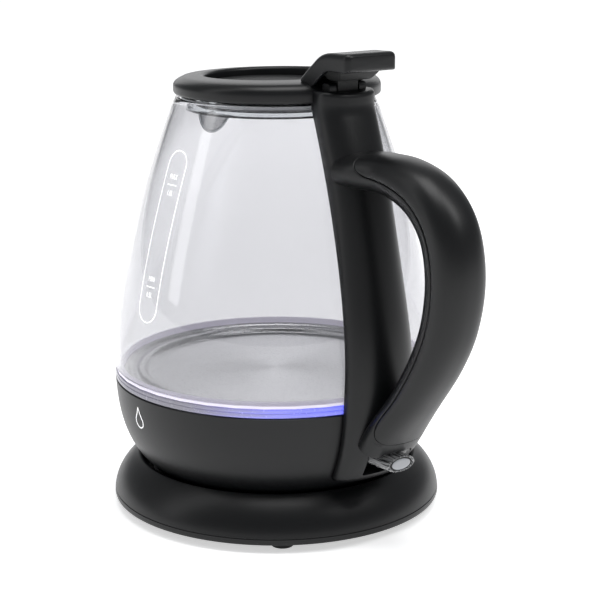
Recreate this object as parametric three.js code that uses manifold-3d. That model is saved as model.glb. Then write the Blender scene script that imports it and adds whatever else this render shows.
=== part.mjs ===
// An electric glass kettle on its swivelling power base, in millimetres, +Z up.
// The kettle's axis is the Z axis: handle towards +X, pouring beak towards -X, gauge towards -Y.
// Heights below are measured from the table; the origin is the flat hub under the base.
import * as THREE from 'three';
import { mergeVertices } from 'three/addons/utils/BufferGeometryUtils.js';
import Module from 'manifold-3d';

const wasm = await Module();
wasm.setup();

// ---- Driving sizes ----
const FACETS = 36; // sides of every large turned piece
const SMALL_FACETS = 16; // sides of small round pieces
const GAP = 0.3; // left between pieces that touch
const WALL = 2.4; // moulded plastic wall

const GLASS = { radius: 80.5, shoulder: 121.1, bend: 80, neckRadius: 48.6, top: 204.3, wall: 2.3 };
const BEAK = { reach: 8, start: 178, halfAngle: 24 };

const BASE = { // overhang: past the glass; insets: from its own edge
  overhang: 1.7, lip: 4, shoulder: 17.8, crestInset: 11.2, crest: 25.2, wellInset: 19.7, well: 17,
};
const HUB = { radius: 28, clearance: 0.5 }; // central boss of the bottom plate, just above the table
const PLATE = { thickness: 2, rim: 4 }; // rim: height of its upturned edge
const FOOT = { radius: 5.5, inset: 11.7, count: 5, firstAngle: -34 };
const SCREW = { head: 3.2, headHeight: 2, shank: 1.4, boss: 4, slim: 12 }; // slim: sides of a small screw
const BASE_SCREWS = { circle: 45, count: 3, firstAngle: 30 };
const UNDERSIDE_SCREWS = { circle: 40, count: 3, firstAngle: 90, sink: 1.6, length: 8 };
const CORD_INLET = { width: 12, height: 12, bore: 6.4, length: 9 };

const TOWER = { radius: 17, top: 27, flange: 7, slotFloor: 16 }; // flange: how far it spreads
const SHUTTER = { height: 3.2, clearance: 0.4, width: 4.2 };
const CONTACT_RINGS = [ // setback of each contact ring's middle from the tower's edge
  { name: 'outer', setback: 3.6 },
  { name: 'inner', setback: 9 },
];
const CONTACT = { slot: 3, blade: 1.2, pin: 1.9, pinSlot: 3.4, collar: 1.8, bottom: 18.5, facets: 24 };
const SOCKET = { clearance: 7.5, rise: 3, depth: 6.5 }; // round and over the tower

const BOWL = { inset: 0.1, top: 65.4, shoulder: 31, footClearance: 2.5, foot: 19.8, lap: 0.6 };
const RIB = { bottom: 17.3, inset: 3, width: 5, height: 1 }; // ring that the kettle stands on
const LIGHT_RING = { height: 4.1, width: 4.1, inset: 0.2 };
const SEAL = { thickness: 1.3, upstand: 2.9, width: 1.4, inset: 0.4 };
const HEATER = { dish: 67.4, ridge: 69.6, thickness: 1.2, rim: 70.4, channel: 10.6, slope: 1.5 };
const ELEMENT = { inset: 10, radius: 3.4, start: 20 };
const DIFFUSER = { inset: 5.5, thickness: 3 };
const CONTROL = { radius: 19, height: 12 };
const LED = { radius: 2.5, height: 3, inset: 6.5, angle: 24, board: 1.6, margin: 6 };

const LID = { overhang: 0.4, lift: 1.1, height: 10.9, recessRadius: 34.5, recessDepth: 6.1, panel: 2.1 };
const PLUG = { clearance: 2.8, wall: 1.7, depth: 6.3 };
const GASKET = { width: 2, bottomDepth: 1.9, height: 1.8 };
const FILTER = { clearance: 1, halfAngle: 20, depth: 21.8, wall: 1.2, frame: 2.2, edge: 3 };
const HINGE = { offset: 4.6, drop: 3.1, pin: 1.5, eyeWidth: 12, eye: 2.9, lug: 4 };
const TAB = { // padStart: behind the hinge; rise: over the lid
  width: 29, thickness: 8.2, rootInset: 8, rootDepth: 7, padStart: 4.4, padLength: 15.2, rise: 14,
};

const SPINE = { // drop: under the lid's top; reach: how far its blank runs into the body
  clearance: 0.6, depth: 14, footDepth: 7, topWidth: 27, footWidth: 38,
  bottom: 31, drop: 5.1, wall: 2.2, reach: 4,
};
const HANDLE = { width: 27, footWidth: 35, thickness: 26, footThickness: 18, wall: 2.6, split: 0.12 };
const GRIP = [ // the handle's centre line from the top foot down: distance from the body's wall, and height
  [5.4, 177], [40, 176], [59.7, 160], [59.6, 136], [50, 112], [38.4, 95], [24.5, 78], [11.7, 60], [6.8, 50],
];
const SWITCH = { // root, pivot and tip: distances from the body's wall
  width: 16.6, thickness: 7.8, height: 43.1, root: 2.6, pivot: 5, tip: 20.4,
  pin: 1.3, travel: 5.4, play: 1,
};
const STEAM_TUBE = { radius: 2.9, wall: 0.8, top: 8.3, bottom: 74 }; // top: under the glass's rim
const THERMOSTAT = { radius: 6, width: 4, at: 60 };

// ---- Materials ----
const finish = (color, roughness, metalness = 0) => ({ color, roughness, metalness });
const FINISH = {
  blackPlastic: finish(0x303133, 0.45),
  darkPlastic: finish(0x1d1e20, 0.6),
  glass: finish(0xdfe6ea, 0.05),
  clearPlastic: finish(0xe6ebee, 0.1),
  glowPlastic: finish(0x8f8fe8, 0.3),
  silicone: finish(0xe9ecee, 0.5),
  rubber: finish(0x1a1a1b, 0.85),
  stainless: finish(0xb9bbbe, 0.3, 1),
  aluminium: finish(0xa9adb2, 0.4, 1),
  brass: finish(0xb08d46, 0.35, 1),
  steel: finish(0x8e9196, 0.35, 1),
  board: finish(0x2c6b41, 0.6),
  led: finish(0xd8e2ff, 0.2),
};

// ---- Radii that follow from what each piece fits ----
const glassInner = GLASS.radius - GLASS.wall;
const neckInner = GLASS.neckRadius - GLASS.wall;
const bowlRadius = GLASS.radius - BOWL.inset;
const baseRadius = GLASS.radius + BASE.overhang;
const crestRadius = baseRadius - BASE.crestInset;
const wellRadius = baseRadius - BASE.wellInset;
const bowlFoot = wellRadius - BOWL.footClearance;
const footCircle = baseRadius - FOOT.inset;
const flangeRadius = TOWER.radius + TOWER.flange;
const shutterInner = TOWER.radius + SHUTTER.clearance;
const shutterOuter = shutterInner + SHUTTER.width;
const shutterSeat = shutterOuter + SHUTTER.clearance;
const socketHole = TOWER.radius + SOCKET.clearance;
const contactRadius = ({ setback }) => TOWER.radius - setback;
const lidRadius = GLASS.neckRadius + LID.overhang;
const lidBottom = GLASS.top + LID.lift;
const lidTop = lidBottom + LID.height;
const recessFloor = lidTop - LID.recessDepth;
const plugRadius = neckInner - PLUG.clearance;
const plugBottom = GLASS.top - PLUG.depth;
const filterRadius = plugRadius - PLUG.wall - FILTER.clearance;
const hingeRadius = lidRadius + HINGE.offset;
const hingeHeight = lidTop - HINGE.drop;
const spineTop = lidTop - SPINE.drop;

// ---- Small helpers ----
const rad = THREE.MathUtils.degToRad;
const at = (radius, degrees) => [radius * Math.cos(rad(degrees)), radius * Math.sin(rad(degrees))];
const vec2 = ([r, z]) => new THREE.Vector2(r, z);

// Points of a quadratic curve through three (radius, height) pairs.
function bend(from, through, to, divisions) {
  const curve = new THREE.QuadraticBezierCurve(vec2(from), vec2(through), vec2(to));
  return curve.getPoints(divisions).map((p) => [p.x, p.y]);
}

// A turned piece; the outline runs counter-clockwise seen with the axis at the left.
function turned(outline, facets = FACETS) {
  const onAxis = outline[0][0] === 0 && outline.at(-1)[0] === 0;
  const loop = onAxis ? outline : [...outline, outline[0]];
  const geometry = new THREE.LatheGeometry(loop.map(vec2), facets);
  return geometry.rotateX(Math.PI / 2);
}

// Flat ring or disc between two heights.
function ring(inner, outer, bottom, top, facets = FACETS) {
  if (inner === 0) return turned([[0, bottom], [outer, bottom], [outer, top], [0, top]], facets);
  return turned([[inner, bottom], [outer, bottom], [outer, top], [inner, top]], facets);
}

function block(width, depth, height, x, y, z) {
  return new THREE.BoxGeometry(width, depth, height).translate(x, y, z);
}

// Extrudes an outline one unit long in steps, then moves each of its points to place(u, v, t).
function warped(outline, steps, place) {
  const shape = new THREE.Shape(outline.map(vec2));
  const geometry = new THREE.ExtrudeGeometry(shape, { depth: 1, steps, bevelEnabled: false });
  const position = geometry.attributes.position;
  for (let i = 0; i < position.count; i += 1) {
    const [x, y, z] = place(position.getX(i), position.getY(i), position.getZ(i));
    position.setXYZ(i, x, y, z);
  }
  return geometry;
}

// A closed mesh as a manifold-3d solid.
function solid(geometry) {
  const bare = geometry.clone();
  bare.deleteAttribute('normal');
  bare.deleteAttribute('uv');
  const merged = mergeVertices(bare, 1e-4);
  const mesh = new wasm.Mesh({
    numProp: 3,
    vertProperties: new Float32Array(merged.attributes.position.array),
    triVerts: new Uint32Array(merged.index.array),
  });
  mesh.merge();
  return new wasm.Manifold(mesh);
}

function geometryOf(manifold) {
  const mesh = manifold.getMesh();
  const geometry = new THREE.BufferGeometry();
  geometry.setAttribute('position', new THREE.BufferAttribute(new Float32Array(mesh.vertProperties), 3));
  geometry.setIndex(new THREE.BufferAttribute(new Uint32Array(mesh.triVerts), 1));
  geometry.computeVertexNormals();
  return geometry;
}

const cut = (body, ...tools) => geometryOf(
  tools.reduce((left, tool) => left.subtract(solid(tool)), solid(body)));
const joined = (body, ...more) => geometryOf(
  more.reduce((sum, extra) => sum.add(solid(extra)), solid(body)));
const common = (body, tool) => geometryOf(solid(body).intersect(solid(tool)));

function piece(name, geometry, look) {
  const mesh = new THREE.Mesh(geometry, new THREE.MeshStandardMaterial(look));
  mesh.name = name;
  return mesh;
}

// The radius at which a quadratic curve of (radius, height) pairs passes a height.
function radiusOn([p0, p1, p2], height) {
  const a = p0[1] - 2 * p1[1] + p2[1];
  const b = 2 * (p1[1] - p0[1]);
  const c = p0[1] - THREE.MathUtils.clamp(height, Math.min(p0[1], p2[1]), Math.max(p0[1], p2[1]));
  const root = Math.sqrt(b * b - 4 * a * c);
  const t = Math.abs(a) < 1e-9 ? -c / b : (-b + Math.sign(b) * root) / (2 * a);
  return (1 - t) ** 2 * p0[0] + 2 * t * (1 - t) * p1[0] + t * t * p2[0];
}

const glassCurve = (inset) => [
  [GLASS.radius - inset, GLASS.bend],
  [GLASS.radius - inset, GLASS.shoulder],
  [GLASS.neckRadius - inset, GLASS.top],
];
const bowlCurve = [[bowlRadius, BOWL.top], [bowlRadius, BOWL.shoulder], [bowlFoot, BOWL.foot]];

// Outer radius of the kettle's wall, glass or bowl, at a height.
function skinRadius(height) {
  if (height < BOWL.top) return radiusOn(bowlCurve, height);
  return height > GLASS.bend ? radiusOn(glassCurve(0), height) : GLASS.radius;
}

// The room that the kettle's body and lid ring take up, grown by a clearance on every side.
function bodyRoom(grow) {
  const roof = lidTop + HINGE.lug * 3;
  const outline = [[bowlFoot, BOWL.foot], ...bend(...bowlCurve.toReversed(), 6).slice(1),
    ...bend(...glassCurve(0), 7), [lidRadius, GLASS.top + 0.1], [lidRadius, roof]];
  const grown = outline.map(([r, z]) => [r + grow, z]);
  return turned([[0, BOWL.foot], ...grown, [0, roof]]);
}

// A screw standing head down, with its underside of the head at the given height.
function screw(name, x, y, height, length) {
  const outline = [
    [0, height - SCREW.headHeight], [SCREW.head, height - SCREW.headHeight], [SCREW.head, height],
    [SCREW.shank, height], [SCREW.shank, height + length], [0, height + length],
  ];
  return piece(name, turned(outline, SCREW.slim).translate(x, y, 0), FINISH.steel);
}

const repeat = (count, make) => Array.from({ length: count }, (_, i) => make(i));

// ---- Power base ----
const plateTop = BASE.lip + PLATE.thickness;
const wellUnderside = BASE.well - WALL;
const flangeTop = wellUnderside - GAP;
const notchDepth = 2 * (CORD_INLET.length + 1);
const screwSpots = repeat(BASE_SCREWS.count, (i) => at(
  BASE_SCREWS.circle, BASE_SCREWS.firstAngle + (360 / BASE_SCREWS.count) * i));

function baseCover() {
  const inner = baseRadius - WALL;
  const outline = [
    ...bend([baseRadius, BASE.lip + 1], [baseRadius, BASE.shoulder], [crestRadius, BASE.crest], 6),
    ...bend([crestRadius, BASE.crest], [crestRadius - 3, BASE.crest + 0.2],
      [wellRadius, BASE.well], 4).slice(1),
    [shutterSeat, BASE.well],
    [shutterSeat, wellUnderside],
    [wellRadius + WALL, wellUnderside],
    [crestRadius - WALL, BASE.crest - WALL],
    ...bend([crestRadius, BASE.crest - WALL], [inner, BASE.shoulder - WALL], [inner, plateTop + 3], 4),
    [inner, BASE.lip],
    [baseRadius - 0.8, BASE.lip],
  ];
  const bosses = screwSpots.map(([x, y]) => (
    ring(0, SCREW.boss, plateTop + GAP, wellUnderside + 1, SMALL_FACETS).translate(x, y, 0)));
  const pilots = screwSpots.map(([x, y]) => (
    ring(0, SCREW.shank + GAP, 0, wellUnderside - 1, SMALL_FACETS).translate(x, y, 0)));
  const notch = block(CORD_INLET.width, notchDepth, CORD_INLET.height * 2, 0, baseRadius, BASE.lip);
  return piece('base_cover', cut(joined(turned(outline), ...bosses), notch, ...pilots), FINISH.blackPlastic);
}

function baseBottomPlate() {
  const outer = baseRadius - WALL - GAP;
  const outline = [
    [0, HUB.clearance], [HUB.radius, HUB.clearance], [HUB.radius, BASE.lip], [outer, BASE.lip],
    [outer, BASE.lip + PLATE.rim], [outer - PLATE.thickness, BASE.lip + PLATE.rim],
    [outer - PLATE.thickness, plateTop], [HUB.radius - PLATE.thickness, plateTop],
    [HUB.radius - PLATE.thickness, HUB.clearance + PLATE.thickness], [0, HUB.clearance + PLATE.thickness],
  ];
  const holes = screwSpots.map(([x, y]) => (
    ring(0, SCREW.shank + GAP, 0, BASE.well, SMALL_FACETS).translate(x, y, 0)));
  const notch = block(CORD_INLET.width, notchDepth, PLATE.rim * 3, 0, baseRadius, plateTop + PLATE.rim * 1.5);
  return piece('base_bottom_plate', cut(turned(outline), notch, ...holes), FINISH.darkPlastic);
}

// The gland in the rim that the mains lead would leave through.
function cordInletBush() {
  const bottom = plateTop + GAP;
  const height = BASE.lip + CORD_INLET.height - GAP - bottom;
  const width = CORD_INLET.width - 2 * GAP;
  const middle = bottom + height / 2;
  const body = block(width, CORD_INLET.length, height, 0, baseRadius - CORD_INLET.length / 2, middle);
  const bore = new THREE.CylinderGeometry(
    CORD_INLET.bore / 2, CORD_INLET.bore / 2, notchDepth * 2, SMALL_FACETS)
    .translate(0, baseRadius, middle);
  return piece('cord_inlet_bush', cut(body, bore), FINISH.rubber);
}

function feet() {
  return repeat(FOOT.count, (i) => {
    const [x, y] = at(footCircle, FOOT.firstAngle + (360 / FOOT.count) * i);
    const pad = [[0, 0], [FOOT.radius - 0.8, 0], [FOOT.radius, 0.8], [FOOT.radius, BASE.lip - GAP],
      [0, BASE.lip - GAP]];
    return piece(`foot_${i + 1}`, turned(pad, SMALL_FACETS).translate(x, y, 0), FINISH.rubber);
  });
}

const slotEdges = (contact) => [-1, 1].map((side) => contactRadius(contact) + (side * CONTACT.slot) / 2);
const contactRing = (name, contact, width, bottom, top) => piece(`${name}_${contact.name}`,
  ring(contactRadius(contact) - width / 2, contactRadius(contact) + width / 2, bottom, top, CONTACT.facets),
  FINISH.brass);

function baseConnector() {
  const slots = CONTACT_RINGS.flatMap((contact) => {
    const [inner, outer] = slotEdges(contact);
    return [[outer, TOWER.top], [outer, TOWER.slotFloor], [inner, TOWER.slotFloor], [inner, TOWER.top]];
  });
  const outline = [
    [0, plateTop + GAP], [flangeRadius, plateTop + GAP], [flangeRadius, flangeTop],
    [TOWER.radius, flangeTop], [TOWER.radius, TOWER.top], ...slots,
    [CONTACT.pinSlot, TOWER.top], [CONTACT.pinSlot, TOWER.slotFloor], [0, TOWER.slotFloor],
  ];
  return piece('base_connector', turned(outline, CONTACT.facets), FINISH.darkPlastic);
}

function baseContacts() {
  const floor = TOWER.slotFloor + GAP;
  const rings = CONTACT_RINGS.map((contact) => (
    contactRing('base_contact', contact, CONTACT.collar, floor, CONTACT.bottom - GAP)));
  const cup = ring(0, CONTACT.pinSlot - GAP * 2, floor, CONTACT.bottom - GAP, SMALL_FACETS);
  return [...rings, piece('base_contact_earth', cup, FINISH.brass)];
}

function powerBase() {
  const group = new THREE.Group();
  const screws = screwSpots.map(([x, y], i) => (
    screw(`base_screw_${i + 1}`, x, y, BASE.lip - GAP, wellUnderside - BASE.lip - 2)));
  group.add(baseCover(), baseBottomPlate(), cordInletBush(), ...feet(), ...screws);
  group.add(baseConnector(), ...baseContacts());
  return group;
}

// Loose collar that sits round the connector tower and turns with the kettle.
function contactShutter() {
  const collar = ring(shutterInner, shutterOuter, flangeTop + GAP, flangeTop + GAP + SHUTTER.height);
  return piece('contact_shutter', collar, FINISH.blackPlastic);
}

// ---- Bowl and what is inside it ----
const bowlHole = bowlFoot - BOWL.lap;
const undersideEdge = bowlHole - GAP;
const socketWall = socketHole + WALL;
const socketBottom = TOWER.top + SOCKET.rise;
const socketTop = socketBottom + SOCKET.depth;
const ribOuter = bowlFoot - RIB.inset;
const coverBottom = RIB.bottom + RIB.height;
const undersideScrews = repeat(UNDERSIDE_SCREWS.count, (i) => at(
  UNDERSIDE_SCREWS.circle, UNDERSIDE_SCREWS.firstAngle + (360 / UNDERSIDE_SCREWS.count) * i));

function lowerHousing() {
  const inner = [[bowlRadius - WALL, BOWL.top], [bowlRadius - WALL, BOWL.shoulder + WALL],
    [bowlHole, BOWL.foot + WALL]];
  const outline = [...bend(...bowlCurve.toReversed(), 6), ...bend(...inner, 4), [bowlHole, BOWL.foot]];
  return piece('lower_housing', turned(outline), FINISH.blackPlastic);
}

function undersideCover() {
  const outline = [
    [socketHole, coverBottom], [ribOuter - RIB.width, coverBottom], [ribOuter - RIB.width, RIB.bottom],
    [ribOuter, RIB.bottom], [ribOuter, coverBottom], [undersideEdge, BOWL.foot - 0.4],
    [undersideEdge, BOWL.foot + WALL], [socketWall, BOWL.foot + WALL - 0.4], [socketWall, socketTop],
    [socketHole, socketTop],
  ];
  const holes = undersideScrews.map(([x, y]) => (
    ring(0, SCREW.shank + GAP, 0, socketTop, SCREW.slim).translate(x, y, 0)));
  const sinks = undersideScrews.map(([x, y]) => (
    ring(0, SCREW.head + GAP, 0, coverBottom + UNDERSIDE_SCREWS.sink, SCREW.slim).translate(x, y, 0)));
  return piece('underside_cover', cut(turned(outline), ...holes, ...sinks), FINISH.blackPlastic);
}

function kettleSocket() {
  const body = ring(0, socketHole - GAP, socketBottom, socketTop, CONTACT.facets);
  const rings = CONTACT_RINGS.map((contact) => (
    contactRing('socket_ring', contact, CONTACT.blade, CONTACT.bottom, socketBottom - GAP)));
  const pin = ring(0, CONTACT.pin, CONTACT.bottom, socketBottom - GAP, SMALL_FACETS);
  return [piece('kettle_socket', body, FINISH.darkPlastic), ...rings, piece('socket_pin', pin, FINISH.brass)];
}

const lightRingTop = BOWL.top + GAP + LIGHT_RING.height;
const sealTop = lightRingTop + GAP + SEAL.thickness;
const glassFoot = sealTop + GAP;
const sealInner = glassInner - GAP - SEAL.width;
const lightRingOuter = GLASS.radius - LIGHT_RING.inset;
const lightRingInner = lightRingOuter - LIGHT_RING.width;
const plateRimOuter = Math.min(sealInner, lightRingInner) - GAP;
const dishRadius = plateRimOuter - HEATER.channel;
const diffuserRadius = dishRadius - DIFFUSER.inset;

function heaterPlate() {
  const t = HEATER.thickness;
  const rimInner = plateRimOuter - t;
  const ridgeIn = dishRadius + HEATER.slope;
  const outline = [
    [0, HEATER.dish - t], [dishRadius, HEATER.dish - t], [ridgeIn, HEATER.ridge - t],
    [rimInner - 4, HEATER.ridge - t], [rimInner - 1, HEATER.dish - t], [plateRimOuter, HEATER.dish - t],
    [plateRimOuter, HEATER.rim], [rimInner, HEATER.rim], [rimInner, HEATER.dish],
    [rimInner - 1.4, HEATER.dish + 0.2], [rimInner - 4, HEATER.ridge], [ridgeIn, HEATER.ridge],
    [dishRadius - 0.8, HEATER.dish], [0, HEATER.dish],
  ];
  return piece('heater_plate', turned(outline), FINISH.stainless);
}

const diffuserTop = HEATER.dish - HEATER.thickness - GAP;
const diffuserBottom = diffuserTop - DIFFUSER.thickness;
const elementMiddle = diffuserBottom - GAP - ELEMENT.radius;
const elementCircle = diffuserRadius - ELEMENT.inset;

// The heating element: an open ring of tube under the diffuser.
function elementTube() {
  const section = new THREE.Shape().absarc(0, 0, ELEMENT.radius, 0, 2 * Math.PI);
  const sweep = new THREE.EllipseCurve(0, 0, elementCircle, elementCircle, rad(ELEMENT.start),
    rad(360 - ELEMENT.start));
  const points = sweep.getPoints(24).map((p) => new THREE.Vector3(p.x, p.y, elementMiddle));
  const path = new THREE.CatmullRomCurve3(points);
  return new THREE.ExtrudeGeometry(section, { extrudePath: path, steps: 24, curveSegments: 4 });
}

function heating() {
  const low = socketTop + GAP;
  const control = ring(0, CONTROL.radius, low, low + CONTROL.height, CONTACT.facets);
  return [
    piece('heat_diffuser', ring(0, diffuserRadius, diffuserBottom, diffuserTop), FINISH.aluminium),
    piece('heater_element', elementTube(), FINISH.aluminium),
    piece('control_block', control, FINISH.darkPlastic),
  ];
}

function ledLighting() {
  const bottom = BOWL.top - GAP - LED.height;
  const circle = GLASS.radius - LED.inset;
  const bulbs = [-1, 1].map((side) => {
    const [x, y] = at(circle, side * LED.angle);
    const bulb = ring(0, LED.radius, bottom, BOWL.top - GAP, SCREW.slim).translate(x, y, 0);
    return piece(side < 0 ? 'led_1' : 'led_2', bulb, FINISH.led);
  });
  const half = rad(LED.angle + LED.margin);
  const arc = new THREE.Shape();
  arc.absarc(0, 0, circle + LED.radius, -half, half, false);
  arc.absarc(0, 0, circle - LED.margin, half, -half, true);
  const board = new THREE.ExtrudeGeometry(arc, { depth: LED.board, bevelEnabled: false, curveSegments: 8 })
    .translate(0, 0, bottom - GAP - LED.board);
  return [...bulbs, piece('led_board', board, FINISH.board)];
}

function lightRing() {
  return piece('light_ring', ring(lightRingInner, lightRingOuter, BOWL.top + GAP, lightRingTop),
    FINISH.glowPlastic);
}

function jugSeal() {
  const outer = GLASS.radius - SEAL.inset;
  const outline = [
    [sealInner, lightRingTop + GAP], [outer, lightRingTop + GAP], [outer, sealTop],
    [sealInner + SEAL.width, sealTop], [sealInner + SEAL.width, sealTop + SEAL.upstand - SEAL.thickness],
    [sealInner, sealTop + SEAL.upstand - SEAL.thickness],
  ];
  return piece('jug_seal', turned(outline), FINISH.silicone);
}

// How far the pouring beak pushes the glass outwards at a point.
function beakPush(x, y, z) {
  const height = THREE.MathUtils.clamp((z - BEAK.start) / (GLASS.top - BEAK.start), 0, 1);
  const turn = Math.min(Math.abs(Math.atan2(y, -x)) / rad(BEAK.halfAngle), 1);
  return BEAK.reach * height ** 2 * Math.cos((turn * Math.PI) / 2) ** 2;
}

function glassJug() {
  const outer = bend(...glassCurve(0), 7);
  const inner = bend(...glassCurve(GLASS.wall), 7).reverse();
  const outline = [[glassInner, glassFoot], [GLASS.radius, glassFoot], ...outer, ...inner];
  const geometry = turned(outline);
  const position = geometry.attributes.position;
  for (let i = 0; i < position.count; i += 1) {
    const [x, y, z] = [position.getX(i), position.getY(i), position.getZ(i)];
    const scale = 1 + beakPush(x, y, z) / Math.hypot(x, y);
    position.setXYZ(i, x * scale, y * scale, z);
  }
  return piece('glass_jug', geometry, FINISH.glass);
}

// ---- Spine and handle ----
const smooth = THREE.MathUtils.smoothstep;
const spineHalfWidth = (z) => THREE.MathUtils.lerp(SPINE.footWidth, SPINE.topWidth,
  smooth(z, SPINE.bottom, spineTop)) / 2;
const spineInner = (z) => skinRadius(z) + SPINE.clearance;
const spineDepth = (z) => THREE.MathUtils.lerp(SPINE.footDepth, SPINE.depth,
  smooth(z, SPINE.bottom, BOWL.top + 25));
const SPINE_LEVELS = [0, 0.04, 0.09, 0.15, 0.21, 0.3, 0.4, 0.5, 0.6, 0.7, 0.8, 0.9, 1];

// The height of the spine's station t, with the stations closer together beside the bowl.
function spineHeight(t, low = SPINE.bottom, high = spineTop) {
  const station = SPINE_LEVELS[Math.round(t * (SPINE_LEVELS.length - 1))];
  return THREE.MathUtils.lerp(low, high, station);
}

const ROUND_BACK = [[-1, 0], [1, 0], [1, 0.45], [0.84, 0.8], [0.45, 0.97], [-0.45, 0.97], [-0.84, 0.8],
  [-1, 0.45]];

// The spine's outer form, reaching a little into the body; inset shrinks its back and sides.
function spineForm(inset, low, high) {
  return warped(ROUND_BACK, SPINE_LEVELS.length - 1, (u, v, t) => {
    const z = spineHeight(t, low, high);
    const inner = spineInner(z);
    const radius = inner - SPINE.reach + v * (SPINE.reach + spineDepth(z) - inset);
    const angle = (-u * (spineHalfWidth(z) - inset)) / inner;
    return [radius * Math.cos(angle), radius * Math.sin(angle), z];
  });
}

const gripCurve = new THREE.CatmullRomCurve3(
  GRIP.map(([out, z]) => new THREE.Vector3(skinRadius(z) + out, 0, z)));

// A point of the handle: u across, v outwards from the centre line, t from the top foot down.
function gripPoint(u, v, t, grow = 0) {
  const middle = gripCurve.getPointAt(t);
  const along = gripCurve.getTangentAt(t);
  const flare = 1 - smooth(t, 0.05, 0.2);
  const width = THREE.MathUtils.lerp(HANDLE.width, HANDLE.footWidth, flare) / 2 + grow;
  const slim = Math.max(1 - smooth(t, 0.05, 0.35), smooth(t, 0.6, 1));
  const half = THREE.MathUtils.lerp(HANDLE.thickness, HANDLE.footThickness, slim) / 2 + grow;
  return [middle.x - along.z * v * half, u * width, middle.z + along.x * v * half];
}

const OVAL = repeat(12, (i) => at(1, 30 * i));
const HANDLE_STEPS = 15;
const handleForm = () => warped(OVAL, HANDLE_STEPS, (u, v, t) => gripPoint(u, v, t));
const handleHollow = () => warped(OVAL, HANDLE_STEPS, (u, v, t) => (
  gripPoint(u, v, THREE.MathUtils.lerp(0.1, 0.9, t), -HANDLE.wall)));

// Everything on the outer side of the handle's parting line, moved outwards by a gap.
function handleBack(gap) {
  const low = HANDLE.split + gap / HANDLE.thickness;
  const outline = [[-1.6, low], [1.6, low], [1.6, 1.5], [-1.6, 1.5]];
  return warped(outline, HANDLE_STEPS, (u, v, t) => gripPoint(u, v, THREE.MathUtils.lerp(0.1, 0.97, t)));
}

const switchWall = skinRadius(SWITCH.height);
const slotLength = 60; // more than reaches through spine and handle
const switchSlot = () => block(
  slotLength, SWITCH.width + 2 * SWITCH.play, SWITCH.thickness + SWITCH.travel + SWITCH.play,
  switchWall + SWITCH.tip, 0, SWITCH.height - SWITCH.travel / 2);

// Two ears on top of the spine that carry the lid's hinge pin.
function hingeLugs() {
  const side = HINGE.eyeWidth / 2 + GAP + HINGE.lug / 2;
  const low = spineTop - 2 * HINGE.eye;
  const high = hingeHeight + HINGE.eye;
  return [-1, 1].map((hand) => block(HINGE.eye * 2, HINGE.lug, high - low, hingeRadius, hand * side,
    (low + high) / 2));
}

// Cylinder across the kettle on the switch's pivot line.
const switchAxle = (radius, length) => new THREE.CylinderGeometry(radius, radius, length, SCREW.slim)
  .translate(switchWall + SWITCH.pivot, 0, SWITCH.height);

// Cylinder across the kettle on the lid's hinge line.
const hingeAxle = (radius, length) => new THREE.CylinderGeometry(radius, radius, length, SCREW.slim)
  .translate(hingeRadius, 0, hingeHeight);
const hingeWidth = HINGE.eyeWidth + 2 * (HINGE.lug + GAP);

function spineCover() {
  const outside = cut(spineForm(0), bodyRoom(SPINE.clearance));
  const hollow = spineForm(SPINE.wall, SPINE.bottom + SPINE.wall, spineTop - SPINE.wall);
  const eyeRoom = block(4 * HINGE.eye - HINGE.lug + 0.8, HINGE.eyeWidth + 2 * GAP, 3 * HINGE.eye,
    hingeRadius - 2 * GAP, 0, hingeHeight);
  const shell = joined(cut(outside, hollow), ...hingeLugs());
  return piece('spine_cover', cut(shell, eyeRoom, hingeAxle(HINGE.pin + GAP, 2 * hingeWidth), switchSlot(),
    switchAxle(SWITCH.pin + GAP, SWITCH.width + 2 * SPINE.wall + 4 * GAP)), FINISH.blackPlastic);
}

// Inner plate that backs the spine against the glass.
function spineBack() {
  const low = BOWL.top + 6;
  const high = spineTop - SPINE.depth;
  const form = spineForm(SPINE.wall + GAP, low, high);
  const room = bodyRoom(SPINE.clearance);
  const keep = bodyRoom(SPINE.clearance + 1.8);
  return piece('spine_back', common(cut(form, room), keep), FINISH.darkPlastic);
}

function handleInner() {
  const shell = cut(handleForm(), handleBack(0), spineForm(-GAP), handleHollow(), switchSlot(),
    bodyRoom(SPINE.clearance));
  return piece('handle_inner', shell, FINISH.blackPlastic);
}

function gripCover() {
  const back = common(handleForm(), handleBack(GAP));
  return piece('grip_cover', cut(back, handleHollow(), spineForm(-GAP), switchSlot()), FINISH.blackPlastic);
}

function steamParts() {
  const seat = spineInner(THERMOSTAT.at) + THERMOSTAT.width / 2 + GAP;
  const route = new THREE.CatmullRomCurve3(repeat(7, (i) => {
    const z = THREE.MathUtils.lerp(GLASS.top - STEAM_TUBE.top, STEAM_TUBE.bottom, i / 6);
    return new THREE.Vector3(spineInner(z) + spineDepth(z) / 2 + 0.2, 0, z);
  }));
  const section = new THREE.Shape().absarc(0, 0, STEAM_TUBE.radius, 0, 2 * Math.PI);
  section.holes.push(new THREE.Path().absarc(0, 0, STEAM_TUBE.radius - STEAM_TUBE.wall, 0, 2 * Math.PI));
  const tube = new THREE.ExtrudeGeometry(section, { extrudePath: route, steps: 14, curveSegments: 4 });
  const thermostat = new THREE.CylinderGeometry(THERMOSTAT.radius, THERMOSTAT.radius, THERMOSTAT.width, 16)
    .rotateZ(Math.PI / 2).translate(seat, 0, THERMOSTAT.at);
  return [piece('steam_tube', tube, FINISH.silicone), piece('steam_thermostat', thermostat, FINISH.steel)];
}

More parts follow.
